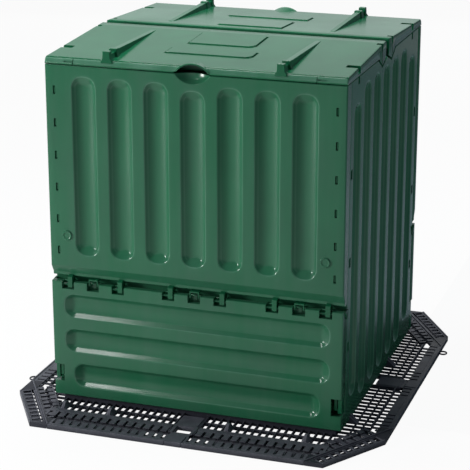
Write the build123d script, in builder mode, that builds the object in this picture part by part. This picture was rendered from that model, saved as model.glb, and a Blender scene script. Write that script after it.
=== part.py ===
from build123d import *

import os
from math import atan2, ceil, cos, degrees, hypot, radians, tan

os.makedirs("parts", exist_ok=True)

# A plug-together compost bin that stands on a ground grid. Millimetres, +Z up, the front faces -Y,
# and the origin is on the ground under the middle of the bin.

# Bin as a whole
bin_width = 800.0
bin_depth = 800.0
wall_height = 912.0
skin = 4.0
panel_depth = 38.0
fit_gap = 0.5
small_round_sides = 14

# Ground grid
grid_margin_side = 115.0
grid_margin_front = 170.0
grid_thickness = 14.0
rail_width = 40.0
grid_bar = 10.0
cell_pitch_limit = 121.0
kerb_height = 10.0
kerb_overhang = 2.0
edge_width = 42.0
edge_run_side = 115.0
edge_run_front = 185.0
edge_cells = 3
edge_cell_length = 52.0
edge_cell_width = 16.0
joiner_width = 46.0
joiner_neck = 24.0
joiner_plate = 64.0
joiner_neck_length = 22.0
joiner_gap = 0.4
stop_width = 20.0
stop_run = 34.0
side_stop_height = 34.0
front_stops_left = (-352.0, -220.0)
front_stops_right = (110.0, 321.0)
side_stop_right = -290.0
side_stop_left = -110.0
loop_outer = 13.0
loop_inner = 8.0
loop_height = 8.0
loop_offset = 30.0

# Grooves of the walls and flaps
groove_width = 67.0
groove_depth = 16.0
groove_flank_depth = 13.0
groove_flank_draft = 44.0
groove_floor_draft = 72.0
groove_end_sides = 16
groove_count = 7
groove_side_margin = 105.0

# Front and rear walls
flap_height = 327.0
flap_foot_gap = 3.0
hinge_slot = 10.0
strip_height = 18.0
chamfer_drop = 17.0
recess_depth = 25.0
apron_drop = 20.0
panel_groove_foot = 28.0
panel_groove_head = 23.0
middle_groove_head = 38.0
scoop_radius = 57.6
scoop_drop = 25.0
scoop_depth = 26.0
boss_diameter = 26.0
boss_height = 4.0
boss_inset = 49.0
boss_rise = 85.0
tongue_count = 6
tongue_inset = 24.0
tongue_thickness = 4.0
tongue_height = 17.0
tongue_low_margin = 43.0
tongue_high_margin = 66.0
tongue_cover = 2.5

# Flap hinge: rods on the flap turn in hooks under the wall's recess
hinge_inset = 10.0
hinge_drop = 9.0
hinge_rod = 9.0
hinge_clearance = 0.3
hook_wall = 4.0
hook_width = 20.0
hook_spacing = 71.0
hinge_group_inset = 117.0
notch_width = 34.0
notch_depth = 20.0
clip_width = 22.0
clip_drop = 12.0
lip_depth = 20.0
shoulder_drop = 26.0
flap_groove_margin = 29.0
flap_groove_foot = 64.0
flap_groove_head = 67.0
flap_foot_groove_trim = 24.0

# Latch lugs of the side walls in windows of the flaps
window_width = 28.0
window_height = 48.0
window_rise = 42.0
lug_gap = 5.0
lug_set_back = 9.0

# Side walls
side_groove_foot = 28.0
side_groove_head = 27.0
outer_groove_foot = 60.0
outer_groove_head = 63.0
ear_reach = 86.0
ear_tip = 50.0
ear_drop = 21.0
ear_peak_drop = 2.0
vent_width = 8.0
vent_height = 26.0
vent_inset = 17.0
vent_heights = (217.0, 444.0, 675.0)
latch_slot_width = 14.0
latch_slot_height = 18.0
latch_inset = 110.0

# Lids
eave_height = 19.0
ridge_height = 37.0
valley_width = 30.0
ridge_wall_height = 27.0
hood_radius = 56.0
hood_rise = 7.0
hood_length = 58.0
hood_lean = 0.16
rib_offset = 230.0
rib_front_width = 18.0
rib_back_width = 6.0
rib_height = 24.0
rib_ridge_margin = 53.0
post_width = 20.0
post_foot_width = 30.0
post_flare = 6.0
knob_width = 22.0
knob_length = 14.0
knob_height = 6.0
knob_set_back = 26.0
pad_height = 2.5
main_pad_width = 180.0
main_pad_length = 115.0
main_pad_place = 280.5
bar_pad_width = 230.0
bar_pad_length = 55.0
bar_pad_place = 145.5
pad_corner = 22.0
eave_pocket_place = 111.0
eave_pocket_length = 22.0
eave_pocket_width = 33.0
eave_pocket_depth = 10.0
ridge_pocket_place = 345.0
ridge_pocket_length = 14.0
ridge_pocket_width = 15.0
ridge_pocket_depth = 9.0
skirt_line_rise = 5.5
skirt_line_height = 2.2
skirt_line_depth = 1.6
stiffener_depth = 12.0
stiffener_rows = (145.0, 262.0)
stiffener_columns = (-120.0, 120.0)
stiffener_foot = 80.0
stiffener_head = 60.0

# Lid hinge: rods on the lids turn in hooks on the ridge beam
lid_axis_inset = 8.0
lid_axis_drop = 17.0
lid_rod = 10.0
lid_hook_wall = 4.0
lid_hook_width = 40.0
lid_hook_mouth = 8.6
lid_hook_inset = 140.0
lid_slot_width = 55.0
lid_slot_head = 7.0
cheek_depth = 14.0

# Ridge beam
beam_width = 60.0
beam_depth = 34.0
beam_end_gap = 8.0
beam_clearance = 2.0

# Places that follow from the sizes above
half_width = bin_width / 2
half_depth = bin_depth / 2
bin_foot = grid_thickness + kerb_height
wall_top = bin_foot + wall_height
front_face = -half_depth
panel_back = front_face + panel_depth
side_face = half_width
side_length = bin_depth - 2 * panel_depth
flap_foot = bin_foot + flap_foot_gap
flap_top = bin_foot + flap_height
flap_back = panel_back - fit_gap
strip_face = front_face + recess_depth
strip_foot = flap_top + hinge_slot
strip_top = strip_foot + strip_height
panel_foot = strip_top + chamfer_drop
apron_foot = strip_foot - apron_drop
chamfer_slope = chamfer_drop / recess_depth
chamfer_skin = skin * (hypot(1, chamfer_slope) - chamfer_slope)
front_pitch = (bin_width - 2 * groove_side_margin) / (groove_count - 1)
side_pitch = (bin_depth - 2 * groove_side_margin) / (groove_count - 1)
groove_steps = [i - (groove_count - 1) / 2 for i in range(groove_count)]
tongue_x = half_width - tongue_inset
tongue_pitch = (wall_top - tongue_high_margin - panel_foot - tongue_low_margin) / (tongue_count - 1)
tongue_heights = [panel_foot + tongue_low_margin + i * tongue_pitch for i in range(tongue_count)]
flap_axis_y = front_face + hinge_inset
flap_axis_z = flap_top - hinge_drop
flap_hook_inner = hinge_rod / 2 + hinge_clearance
flap_hook_outer = flap_hook_inner + hook_wall
hinge_groups = [-half_width + hinge_group_inset, 0.0, half_width - hinge_group_inset]
hook_places = [x + side * hook_spacing for x in hinge_groups for side in (-1, 1)]
window_foot = bin_foot + window_rise
lid_foot = wall_top + fit_gap
eave_top = wall_top + eave_height
ridge_top = wall_top + ridge_height
ridge_edge = -valley_width / 2
lid_length = ridge_edge - front_face
lid_slope = (ridge_top - eave_top) / lid_length
lid_axis_y = ridge_edge - lid_axis_inset
lid_axis_z = ridge_top - lid_axis_drop
lid_hook_inner = lid_rod / 2 + hinge_clearance
lid_hook_outer = lid_hook_inner + lid_hook_wall
lid_hook_places = [-half_width + lid_hook_inset, half_width - lid_hook_inset]
ridge_wall_foot = ridge_top - ridge_wall_height
ear_tip_z = lid_foot - ear_drop + fit_gap
ear_slope = (ear_drop - ear_peak_drop) / ear_tip
beam_top = wall_top + skin
grid_half_width = half_width + grid_margin_side
grid_half_depth = half_depth + grid_margin_front


def lid_surface(y):
    """Height of the lids' sloping top at a place between the eave and the ridge."""
    return eave_top + (y - front_face) * lid_slope


def groove_outline(length, width):
    """Outline of a groove along X: straight sides and many-sided round ends."""
    run = length - width
    with BuildSketch() as outline:
        with Locations((-run / 2, 0), (run / 2, 0)):
            RegularPolygon(width / 2, groove_end_sides, major_radius=False, rotation=180 / groove_end_sides)
        Rectangle(run, width)
    return outline.sketch


def groove_pocket(length):
    """Pocket of a groove: mouth on XY, sloping flanks, then a bowl-like floor."""
    inset = groove_flank_depth * tan(radians(groove_flank_draft))
    with BuildPart() as pocket:
        with BuildSketch():
            add(groove_outline(length, groove_width))
        extrude(amount=groove_flank_depth, taper=groove_flank_draft)
        with BuildSketch(Plane.XY.offset(groove_flank_depth)):
            add(groove_outline(length - 2 * inset, groove_width - 2 * inset))
        extrude(amount=groove_depth - groove_flank_depth, taper=groove_floor_draft)
    return pocket.part


def groove_back(length):
    """Back of a groove: a tapered box one skin away from the flanks of its pocket."""
    growth = 2 * skin / cos(radians(groove_flank_draft))
    with BuildPart() as back:
        with BuildSketch():
            Rectangle(length + growth, groove_width + growth)
        extrude(amount=groove_depth + skin, taper=groove_flank_draft)
    return back.part


def upright_on_front(x, low, high):
    """Plane of an upright groove in the front face, and the groove's length."""
    plane = Plane(origin=(x, front_face, (low + high) / 2), x_dir=(0, 0, 1), z_dir=(0, 1, 0))
    return plane, high - low


def upright_on_side(y, low, high):
    """Plane of an upright groove in the right-hand face, and the groove's length."""
    plane = Plane(origin=(side_face, y, (low + high) / 2), x_dir=(0, 0, 1), z_dir=(-1, 0, 0))
    return plane, high - low


# Grooves: seven upright ones in each wall, three level ones in each flap
front_grooves = []
side_grooves = []
for step in groove_steps:
    head = middle_groove_head if step == 0 else panel_groove_head
    foot = panel_foot + panel_groove_foot
    front_grooves.append(upright_on_front(step * front_pitch, foot, wall_top - head))
    is_outer = abs(step) == max(groove_steps)
    foot = outer_groove_foot if is_outer else side_groove_foot
    head = outer_groove_head if is_outer else side_groove_head
    side_grooves.append(upright_on_side(step * side_pitch, bin_foot + foot, wall_top - head))
flap_grooves = []
flap_pitch = (flap_height - flap_groove_foot - flap_groove_head) / 2
for row in range(3):
    z = bin_foot + flap_groove_foot + row * flap_pitch
    length = bin_width - 2 * flap_groove_margin - (2 * flap_foot_groove_trim if row == 0 else 0)
    flap_grooves.append((Plane(origin=(0, front_face, z), x_dir=(1, 0, 0), z_dir=(0, 1, 0)), length))

# Finger scoop in the top of the front wall
scoop_plane = Plane(
    origin=(0, front_face, wall_top - scoop_drop + scoop_radius), x_dir=(1, 0, 0), z_dir=(0, 1, 0)
)
with BuildPart() as scoop_shell:
    with BuildSketch(scoop_plane):
        Circle(scoop_radius + skin)
    extrude(amount=scoop_depth + skin)
    split(bisect_by=Plane.XY.offset(wall_top), keep=Keep.BOTTOM)

# Front wall: tray-shaped panel, open to the inside, with the flap's hooks in its foot recess
with BuildPart() as front_wall:
    with BuildSketch(Plane.YZ):
        with BuildLine():
            Polyline(
                (front_face, wall_top),
                (front_face, panel_foot),
                (strip_face, strip_top),
                (strip_face, strip_foot),
                (panel_back - skin, strip_foot),
                (panel_back - skin, apron_foot),
                (panel_back, apron_foot),
                (panel_back, wall_top),
                close=True,
            )
        make_face()
    extrude(amount=half_width, both=True)
    with BuildSketch(Plane.YZ):
        with BuildLine():
            Polyline(
                (front_face + skin, wall_top - skin),
                (front_face + skin, panel_foot + chamfer_skin),
                (strip_face + skin, strip_top + chamfer_skin),
                (strip_face + skin, strip_foot + skin),
                (panel_back, strip_foot + skin),
                (panel_back, wall_top - skin),
                close=True,
            )
        make_face()
    extrude(amount=half_width - skin, both=True, mode=Mode.SUBTRACT)
    add(scoop_shell.part)
    for plane, length in front_grooves:
        with Locations(plane):
            add(groove_back(length))
    for plane, length in front_grooves:
        with Locations(plane):
            add(groove_pocket(length), mode=Mode.SUBTRACT)
    with BuildSketch(scoop_plane):
        Circle(scoop_radius)
    extrude(amount=scoop_depth, mode=Mode.SUBTRACT)
    with BuildSketch(Plane.XZ.offset(half_depth)):
        with Locations(
            (-half_width + boss_inset, panel_foot + boss_rise),
            (half_width - boss_inset, panel_foot + boss_rise),
        ):
            RegularPolygon(boss_diameter / 2, small_round_sides)
    extrude(amount=boss_height)
    slit_places = [(side * tongue_x, front_face, z) for z in tongue_heights for side in (-1, 1)]
    with Locations(*slit_places):
        Box(
            tongue_thickness + 2 * fit_gap,
            2 * skin,
            tongue_height + 2 * fit_gap,
            mode=Mode.SUBTRACT,
        )
    for x in hook_places:
        with BuildSketch(Plane.YZ.offset(x)):
            with BuildLine():
                Polyline(
                    (flap_axis_y, flap_axis_z),
                    (flap_axis_y, flap_axis_z + flap_hook_outer),
                    (strip_face, strip_foot + skin),
                    (strip_face + 2 * skin, strip_foot + skin),
                    (flap_axis_y + flap_hook_outer, flap_axis_z),
                    close=True,
                )
            make_face()
            with Locations((flap_axis_y, flap_axis_z)):
                RegularPolygon(flap_hook_outer, small_round_sides, major_radius=False)
                RegularPolygon(flap_hook_inner, small_round_sides, major_radius=False, mode=Mode.SUBTRACT)
                Rectangle(
                    hinge_rod + hook_wall,
                    hinge_rod + hook_wall,
                    align=(Align.MAX, Align.MAX),
                    mode=Mode.SUBTRACT,
                )
        extrude(amount=hook_width / 2, both=True)
    with Locations(*[(x, strip_face, strip_foot + skin) for x in hinge_groups]):
        Box(clip_width, hinge_inset, clip_drop + skin, align=(Align.CENTER, Align.CENTER, Align.MAX))

# Rear wall: the same moulding turned half round
with BuildPart() as rear_wall:
    add(front_wall.part, rotation=(0, 0, 180))

# Front flap: shallow tray with its hinge rods in pockets along the top
with BuildPart() as front_flap:
    with BuildSketch(Plane.YZ):
        with BuildLine():
            Polyline(
                (front_face, flap_top),
                (front_face, flap_foot),
                (flap_back, flap_foot),
                (flap_back, flap_top - shoulder_drop),
                (front_face + lip_depth, flap_top - skin),
                (front_face + lip_depth, flap_top),
                close=True,
            )
        make_face()
    extrude(amount=half_width, both=True)
    with BuildSketch(Plane.YZ):
        with BuildLine():
            Polyline(
                (front_face + skin, flap_top - skin),
                (front_face + skin, flap_foot + skin),
                (flap_back, flap_foot + skin),
                (flap_back, flap_top - skin),
                close=True,
            )
        make_face()
    extrude(amount=half_width - skin, both=True, mode=Mode.SUBTRACT)
    for plane, length in flap_grooves:
        with Locations(plane):
            add(groove_back(length))
    for plane, length in flap_grooves:
        with Locations(plane):
            add(groove_pocket(length), mode=Mode.SUBTRACT)
    pocket_places = [(x, front_face, flap_top) for x in hook_places + hinge_groups]
    with Locations(*pocket_places):
        Box(
            notch_width + 2 * skin,
            lip_depth,
            notch_depth + skin,
            align=(Align.CENTER, Align.MIN, Align.MAX),
        )
    with Locations(*pocket_places):
        Box(
            notch_width,
            lip_depth,
            notch_depth,
            align=(Align.CENTER, Align.MIN, Align.MAX),
            mode=Mode.SUBTRACT,
        )
    for x in hook_places:
        with BuildSketch(Plane.YZ.offset(x)):
            with Locations((flap_axis_y, flap_axis_z)):
                RegularPolygon(hinge_rod / 2, small_round_sides)
        extrude(amount=(notch_width + skin) / 2, both=True)
    with Locations((-half_width, front_face, window_foot), (half_width, front_face, window_foot)):
        Box(
            2 * window_width,
            2 * panel_depth,
            window_height,
            align=(Align.CENTER, Align.CENTER, Align.MIN),
            mode=Mode.SUBTRACT,
        )

# Rear flap: the same moulding turned half round
with BuildPart() as rear_flap:
    add(front_flap.part, rotation=(0, 0, 180))

# Right wall: full-height tray between the front and rear walls, with tongues and latch lugs on its edges
with BuildPart() as right_wall:
    with Locations((side_face, 0, bin_foot)):
        Box(panel_depth, side_length, wall_height, align=(Align.MAX, Align.CENTER, Align.MIN))
    with Locations((side_face - skin, 0, bin_foot + skin)):
        Box(
            panel_depth,
            side_length - 2 * skin,
            wall_height - 2 * skin,
            align=(Align.MAX, Align.CENTER, Align.MIN),
            mode=Mode.SUBTRACT,
        )
    for plane, length in side_grooves:
        with Locations(plane):
            add(groove_back(length))
    for plane, length in side_grooves:
        with Locations(plane):
            add(groove_pocket(length), mode=Mode.SUBTRACT)
    with BuildSketch(Plane.YZ.offset(side_face)):
        with BuildLine():
            Polyline(
                (-ear_reach, wall_top),
                (-ear_tip, wall_top - ear_drop),
                (0, wall_top - ear_peak_drop),
                (ear_tip, wall_top - ear_drop),
                (ear_reach, wall_top),
                close=True,
            )
        make_face()
    extrude(amount=-(skin + 2 * fit_gap), mode=Mode.SUBTRACT)
    for side, outward in ((-1, Align.MAX), (1, Align.MIN)):
        edge = side * side_length / 2
        with Locations(*[(tongue_x, edge, z) for z in tongue_heights]):
            Box(
                tongue_thickness,
                panel_depth - tongue_cover,
                tongue_height,
                align=(Align.CENTER, outward, Align.CENTER),
            )
        with Locations((side_face - 2 * fit_gap, edge, window_foot + window_height / 2)):
            Box(
                window_width - lug_gap,
                panel_depth - lug_set_back,
                window_height - 2 * lug_gap,
                align=(Align.MAX, outward, Align.CENTER),
            )
    vent_places = [
        (side_face, side * (side_length / 2 - vent_inset), bin_foot + z)
        for z in vent_heights
        for side in (-1, 1)
    ]
    with Locations(*vent_places):
        Box(2 * skin, vent_width, vent_height, mode=Mode.SUBTRACT)
    slot_places = [(side_face, side * (half_depth - latch_inset), wall_top) for side in (-1, 1)]
    with Locations(*slot_places):
        Box(
            2 * skin,
            latch_slot_width,
            latch_slot_height,
            align=(Align.CENTER, Align.CENTER, Align.MAX),
            mode=Mode.SUBTRACT,
        )

# Left wall: the same moulding turned half round
with BuildPart() as left_wall:
    add(right_wall.part, rotation=(0, 0, 180))

# Ridge beam: channel that lies on the side walls and holds the hooks of both lids
with BuildPart() as ridge_beam:
    with Locations((0, 0, wall_top)):
        Box(
            bin_width - 2 * beam_end_gap,
            beam_width,
            skin,
            align=(Align.CENTER, Align.CENTER, Align.MIN),
        )
    with Locations((0, 0, wall_top)):
        Box(
            bin_width - 2 * panel_depth - 2 * beam_clearance,
            beam_width,
            beam_depth,
            align=(Align.CENTER, Align.CENTER, Align.MAX),
        )
        Box(
            bin_width - 2 * panel_depth - 2 * beam_clearance,
            beam_width - 2 * skin,
            beam_depth,
            align=(Align.CENTER, Align.CENTER, Align.MAX),
            mode=Mode.SUBTRACT,
        )
    for x in lid_hook_places:
        for side in (-1, 1):
            with BuildSketch(Plane.YZ.offset(x)):
                with Locations((-side * lid_axis_y, lid_axis_z)):
                    RegularPolygon(lid_hook_outer, small_round_sides, major_radius=False)
                    Rectangle(lid_rod, lid_axis_z - beam_top, align=(Align.CENTER, Align.MAX))
                    RegularPolygon(lid_hook_inner, small_round_sides, major_radius=False, mode=Mode.SUBTRACT)
                    Rectangle(
                        lid_hook_mouth,
                        lid_rod + lid_hook_wall,
                        align=(Align.CENTER, Align.MIN),
                        mode=Mode.SUBTRACT,
                    )
            extrude(amount=lid_hook_width / 2, both=True)

# Finger hood of the lid's eave: a round arch that leans back into the slope
hood_plane = Plane(
    origin=(0, front_face, eave_top + hood_rise - hood_radius), x_dir=(1, 0, 0), z_dir=(0, 1, -hood_lean)
)
with BuildPart() as hood_shell:
    with BuildSketch(hood_plane):
        Circle(hood_radius)
    extrude(amount=hood_length, both=True)
    split(bisect_by=Plane.XZ.offset(half_depth), keep=Keep.BOTTOM)
    split(bisect_by=Plane.XY.offset(lid_foot), keep=Keep.TOP)

# Front lid: sloping tray turned down over the walls, with ears beside the ridge and rods behind it
lid_plane = Plane(origin=(0, front_face, eave_top), x_dir=(1, 0, 0), z_dir=(0, -lid_slope, 1))
with BuildPart() as front_lid:
    with BuildSketch(Plane.YZ):
        with BuildLine():
            Polyline(
                (front_face, lid_foot),
                (front_face, eave_top),
                (ridge_edge, ridge_top),
                (ridge_edge, lid_foot),
                close=True,
            )
        make_face()
    extrude(amount=half_width, both=True)
    with BuildSketch(Plane.YZ):
        with BuildLine():
            Polyline(
                (front_face + skin, lid_foot),
                (front_face + skin, lid_surface(front_face + skin) - skin),
                (ridge_edge - skin, lid_surface(ridge_edge - skin) - skin),
                (ridge_edge - skin, ridge_wall_foot),
                (ridge_edge, ridge_wall_foot),
                (ridge_edge, lid_foot),
                close=True,
            )
        make_face()
    extrude(amount=half_width - skin, both=True, mode=Mode.SUBTRACT)
    for outer_face, inward in ((half_width, -skin), (-half_width, skin)):
        with BuildSketch(Plane.YZ.offset(outer_face)):
            with BuildLine():
                Polyline(
                    (-ear_reach, lid_foot + skin),
                    (-ear_reach, lid_foot),
                    (-ear_tip, ear_tip_z),
                    (ridge_edge, ear_tip_z + (ear_tip + ridge_edge) * ear_slope),
                    (ridge_edge, lid_foot + skin),
                    close=True,
                )
            make_face()
        extrude(amount=inward)
    add(hood_shell.part)
    with BuildSketch(hood_plane):
        Circle(hood_radius - skin)
    extrude(amount=hood_length - skin, both=True, mode=Mode.SUBTRACT)
    rib_end = ridge_edge - rib_ridge_margin
    for x in (-rib_offset, rib_offset):
        with BuildSketch(Plane.XZ.offset(half_depth)):
            with Locations((x, eave_top - skin / 2)):
                Rectangle(rib_front_width, rib_height + skin / 2, align=(Align.CENTER, Align.MIN))
        with BuildSketch(Plane.XZ.offset(-rib_end)):
            with Locations((x, lid_surface(rib_end) - skin / 2)):
                Rectangle(rib_back_width, skin, align=(Align.CENTER, Align.MIN))
        loft(ruled=True)
        with BuildSketch(Plane.XZ.offset(half_depth)):
            with BuildLine():
                Polyline(
                    (x - post_foot_width / 2, eave_top - skin / 2),
                    (x + post_foot_width / 2, eave_top - skin / 2),
                    (x + post_width / 2, eave_top + post_flare),
                    (x + post_width / 2, eave_top + rib_height),
                    (x - post_width / 2, eave_top + rib_height),
                    (x - post_width / 2, eave_top + post_flare),
                    close=True,
                )
            make_face()
        extrude(amount=-knob_length)
    with Locations(*[(x, front_face + knob_set_back, eave_top) for x in (-rib_offset, rib_offset)]):
        Box(
            knob_width,
            knob_length,
            rib_height + knob_height,
            align=(Align.CENTER, Align.MIN, Align.MIN),
        )
    with BuildSketch(lid_plane):
        with Locations((0, main_pad_place)):
            Rectangle(main_pad_width, main_pad_length)
        with Locations((0, bar_pad_place)):
            Rectangle(bar_pad_width, bar_pad_length)
        right_corners = vertices().group_by(Axis.Y)
        fillet([row.sort_by(Axis.X)[-1] for row in (right_corners[0], right_corners[2])], pad_corner)
    extrude(amount=pad_height)
    edge_pockets = [
        (eave_pocket_place, eave_pocket_length, eave_pocket_width, eave_pocket_depth),
        (ridge_pocket_place, ridge_pocket_length, ridge_pocket_width, ridge_pocket_depth),
    ]
    for place, length, width, depth in edge_pockets:
        y = front_face + place
        floor_z = lid_surface(y) - depth
        with Locations(*[(side * (half_width - (width + skin) / 2), y, floor_z - skin) for side in (-1, 1)]):
            Box(
                width + skin,
                length + 2 * skin,
                depth + skin / 2,
                align=(Align.CENTER, Align.CENTER, Align.MIN),
            )
        with Locations(*[(side * half_width, y, floor_z) for side in (-1, 1)]):
            Box(
                2 * width,
                length,
                ridge_height,
                align=(Align.CENTER, Align.CENTER, Align.MIN),
                mode=Mode.SUBTRACT,
            )
    with Locations((0, front_face, lid_foot + skirt_line_rise)):
        Box(
            bin_width,
            2 * skirt_line_depth,
            skirt_line_height,
            align=(Align.CENTER, Align.CENTER, Align.MIN),
            mode=Mode.SUBTRACT,
        )
    for row in stiffener_rows:
        y = front_face + row
        with Locations((0, y, lid_surface(y) - skin / 2)):
            Box(
                bin_width - 2 * skin,
                skin,
                stiffener_depth,
                align=(Align.CENTER, Align.CENTER, Align.MAX),
            )
    for x in stiffener_columns:
        low = front_face + stiffener_foot
        high = ridge_edge - stiffener_head
        with BuildSketch(Plane.YZ.offset(x)):
            with BuildLine():
                Polyline(
                    (low, lid_surface(low) - skin / 2),
                    (high, lid_surface(high) - skin / 2),
                    (high, lid_surface(high) - skin / 2 - stiffener_depth),
                    (low, lid_surface(low) - skin / 2 - stiffener_depth),
                    close=True,
                )
            make_face()
        extrude(amount=skin / 2, both=True)
    for x in lid_hook_places:
        cheek_places = [
            (x + side * (lid_slot_width + skin) / 2, ridge_edge - skin, ridge_wall_foot) for side in (-1, 1)
        ]
        with Locations(*cheek_places):
            Box(
                skin,
                cheek_depth,
                ridge_wall_height - skin,
                align=(Align.CENTER, Align.MAX, Align.MIN),
            )
        with Locations((x, ridge_edge, ridge_wall_foot)):
            Box(
                lid_slot_width,
                2 * skin,
                ridge_wall_height - lid_slot_head,
                align=(Align.CENTER, Align.CENTER, Align.MIN),
                mode=Mode.SUBTRACT,
            )
        with BuildSketch(Plane.YZ.offset(x)):
            with Locations((lid_axis_y, lid_axis_z)):
                RegularPolygon(lid_rod / 2, small_round_sides)
        extrude(amount=(lid_slot_width + skin) / 2, both=True)

# Rear lid: the same moulding turned half round
with BuildPart() as rear_lid:
    add(front_lid.part, rotation=(0, 0, 180))

# Ground grid: places of its rails, kerb, slanting corners and cells
corner_x = grid_half_width - edge_run_side
corner_y = -grid_half_depth + edge_run_front
edge_length = hypot(edge_run_side, edge_run_front)
cut_x = corner_x - edge_width * edge_length / edge_run_front
cut_y = corner_y + edge_width * edge_length / edge_run_side
kerb_side = half_width + kerb_overhang
kerb_front = -half_depth - kerb_overhang
kerb_inner_side = half_width - panel_depth - kerb_overhang
kerb_inner_front = -half_depth + panel_depth + kerb_overhang
first_cell = joiner_plate / 2 + grid_bar


def joiner_plan(reach, run, clearance):
    """Plan of a joiner along +X: block in the rail, neck, and plate in front of the kerb."""
    plate = run - rail_width - joiner_neck_length
    with BuildSketch() as plan:
        with Locations((reach, 0)):
            Rectangle(rail_width + clearance, joiner_width + 2 * clearance, align=(Align.MAX, Align.CENTER))
        with Locations((reach - rail_width, 0)):
            Rectangle(joiner_neck_length, joiner_neck + 2 * clearance, align=(Align.MAX, Align.CENTER))
        with Locations((reach - run, 0)):
            Rectangle(plate + clearance, joiner_plate + 2 * clearance, align=(Align.MIN, Align.CENTER))
    return plan.sketch


def cell_block(left, right, low, high, columns, rows):
    """Even cells with bars between them that fill a rectangle of the plan."""
    pitch_x = (right - left) / columns
    pitch_y = (high - low) / rows
    with BuildSketch() as cells:
        with Locations(((left + right) / 2, (low + high) / 2)):
            with GridLocations(pitch_x, pitch_y, columns, rows):
                Rectangle(pitch_x - grid_bar, pitch_y - grid_bar)
    return cells.sketch


side_run = grid_half_width - kerb_side
front_run = grid_half_depth + kerb_front
front_rail = -grid_half_depth + rail_width
side_rail = grid_half_width - rail_width
front_cells = cut_x - first_cell
side_cells = -cut_y - first_cell
floor_columns = ceil(kerb_inner_side / cell_pitch_limit)
floor_rows = ceil(-kerb_inner_front / cell_pitch_limit)
front_columns = ceil(front_cells / cell_pitch_limit)
front_rows = ceil((kerb_front - front_rail) / cell_pitch_limit)
side_columns = ceil((side_rail - kerb_side) / cell_pitch_limit)
side_rows = ceil(side_cells / cell_pitch_limit)

# Front right quarter as it comes before wall stops: rails, cells and the kerb under the walls
with BuildPart() as quarter:
    with BuildSketch():
        with BuildLine():
            Polyline(
                (0, 0),
                (grid_half_width, 0),
                (grid_half_width, cut_y),
                (cut_x, -grid_half_depth),
                (0, -grid_half_depth),
                close=True,
            )
        make_face()
        add(joiner_plan(grid_half_width, side_run, joiner_gap), mode=Mode.SUBTRACT)
        add(joiner_plan(grid_half_depth, front_run, joiner_gap), rotation=-90, mode=Mode.SUBTRACT)
        add(
            cell_block(0, kerb_inner_side, kerb_inner_front, 0, floor_columns, floor_rows),
            mode=Mode.SUBTRACT,
        )
        add(
            cell_block(first_cell, cut_x, front_rail, kerb_front, front_columns, front_rows),
            mode=Mode.SUBTRACT,
        )
        add(
            cell_block(kerb_side, side_rail, cut_y, -first_cell, side_columns, side_rows),
            mode=Mode.SUBTRACT,
        )
    extrude(amount=grid_thickness)
    with BuildSketch(Plane.XY.offset(grid_thickness)):
        Rectangle(kerb_side, -kerb_front, align=(Align.MIN, Align.MAX))
        Rectangle(kerb_inner_side, -kerb_inner_front, align=(Align.MIN, Align.MAX), mode=Mode.SUBTRACT)
    extrude(amount=kerb_height)


def wall_stop(height):
    """Wedge that keeps a wall in place: upright face on YZ, sloping down along +X."""
    with BuildPart() as stop:
        with BuildSketch(Plane.XZ):
            with BuildLine():
                Polyline((0, 0), (0, height), (stop_run, 0), close=True)
            make_face()
        extrude(amount=stop_width / 2, both=True)
    return stop.part


# Front right quarter plate: low stops under the flap's swing, a tall one beside the side wall
with BuildPart() as grid_front_right:
    add(quarter.part)
    for x in front_stops_right:
        with Locations(Location((x, kerb_front, grid_thickness), (0, 0, -90))):
            add(wall_stop(kerb_height))
    with Locations((kerb_side, side_stop_right, grid_thickness)):
        add(wall_stop(side_stop_height))

# Front left quarter plate: mirrored, with its own stops and a hanging loop on its rail
with BuildPart() as grid_front_left:
    mirror(quarter.part, about=Plane.YZ)
    for x in front_stops_left:
        with Locations(Location((x, kerb_front, grid_thickness), (0, 0, -90))):
            add(wall_stop(kerb_height))
    with Locations(Location((-kerb_side, side_stop_left, grid_thickness), (0, 0, 180))):
        add(wall_stop(side_stop_height))
    with BuildSketch():
        with Locations((-grid_half_width - loop_inner, cut_y + loop_offset)):
            RegularPolygon(loop_outer, small_round_sides)
            RegularPolygon(loop_inner, small_round_sides, mode=Mode.SUBTRACT)
    extrude(amount=loop_height)

# Rear quarter plates: the front ones turned half round
with BuildPart() as grid_rear_left:
    add(grid_front_right.part, rotation=(0, 0, 180))

with BuildPart() as grid_rear_right:
    add(grid_front_left.part, rotation=(0, 0, 180))

# Slanting edge pieces at the corners, with a row of cells along the middle
edge_middle = (
    (corner_x + grid_half_width + cut_x + grid_half_width) / 4,
    (-2 * grid_half_depth + corner_y + cut_y) / 4,
)
edge_angle = degrees(atan2(edge_run_front, edge_run_side))
with BuildPart() as grid_edge_front_right:
    with BuildSketch():
        with BuildLine():
            Polyline(
                (cut_x + joiner_gap * edge_length / edge_run_front, -grid_half_depth),
                (corner_x, -grid_half_depth),
                (grid_half_width, corner_y),
                (grid_half_width, cut_y - joiner_gap * edge_length / edge_run_side),
                close=True,
            )
        make_face()
        with Locations(Location(edge_middle, edge_angle)):
            with GridLocations(edge_cell_length + grid_bar, edge_width, edge_cells, 1):
                Rectangle(edge_cell_length, edge_cell_width, mode=Mode.SUBTRACT)
    extrude(amount=grid_thickness)

with BuildPart() as grid_edge_front_left:
    mirror(grid_edge_front_right.part, about=Plane.YZ)

with BuildPart() as grid_edge_rear_left:
    add(grid_edge_front_right.part, rotation=(0, 0, 180))

with BuildPart() as grid_edge_rear_right:
    add(grid_edge_front_left.part, rotation=(0, 0, 180))

# Joiners in the middle of each side
with BuildPart() as grid_joiner_right:
    with BuildSketch():
        add(joiner_plan(grid_half_width, side_run, 0))
    extrude(amount=grid_thickness)

with BuildPart() as grid_joiner_left:
    add(grid_joiner_right.part, rotation=(0, 0, 180))

with BuildPart() as grid_joiner_front:
    with BuildSketch():
        add(joiner_plan(grid_half_depth, front_run, 0), rotation=-90)
    extrude(amount=grid_thickness)

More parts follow.
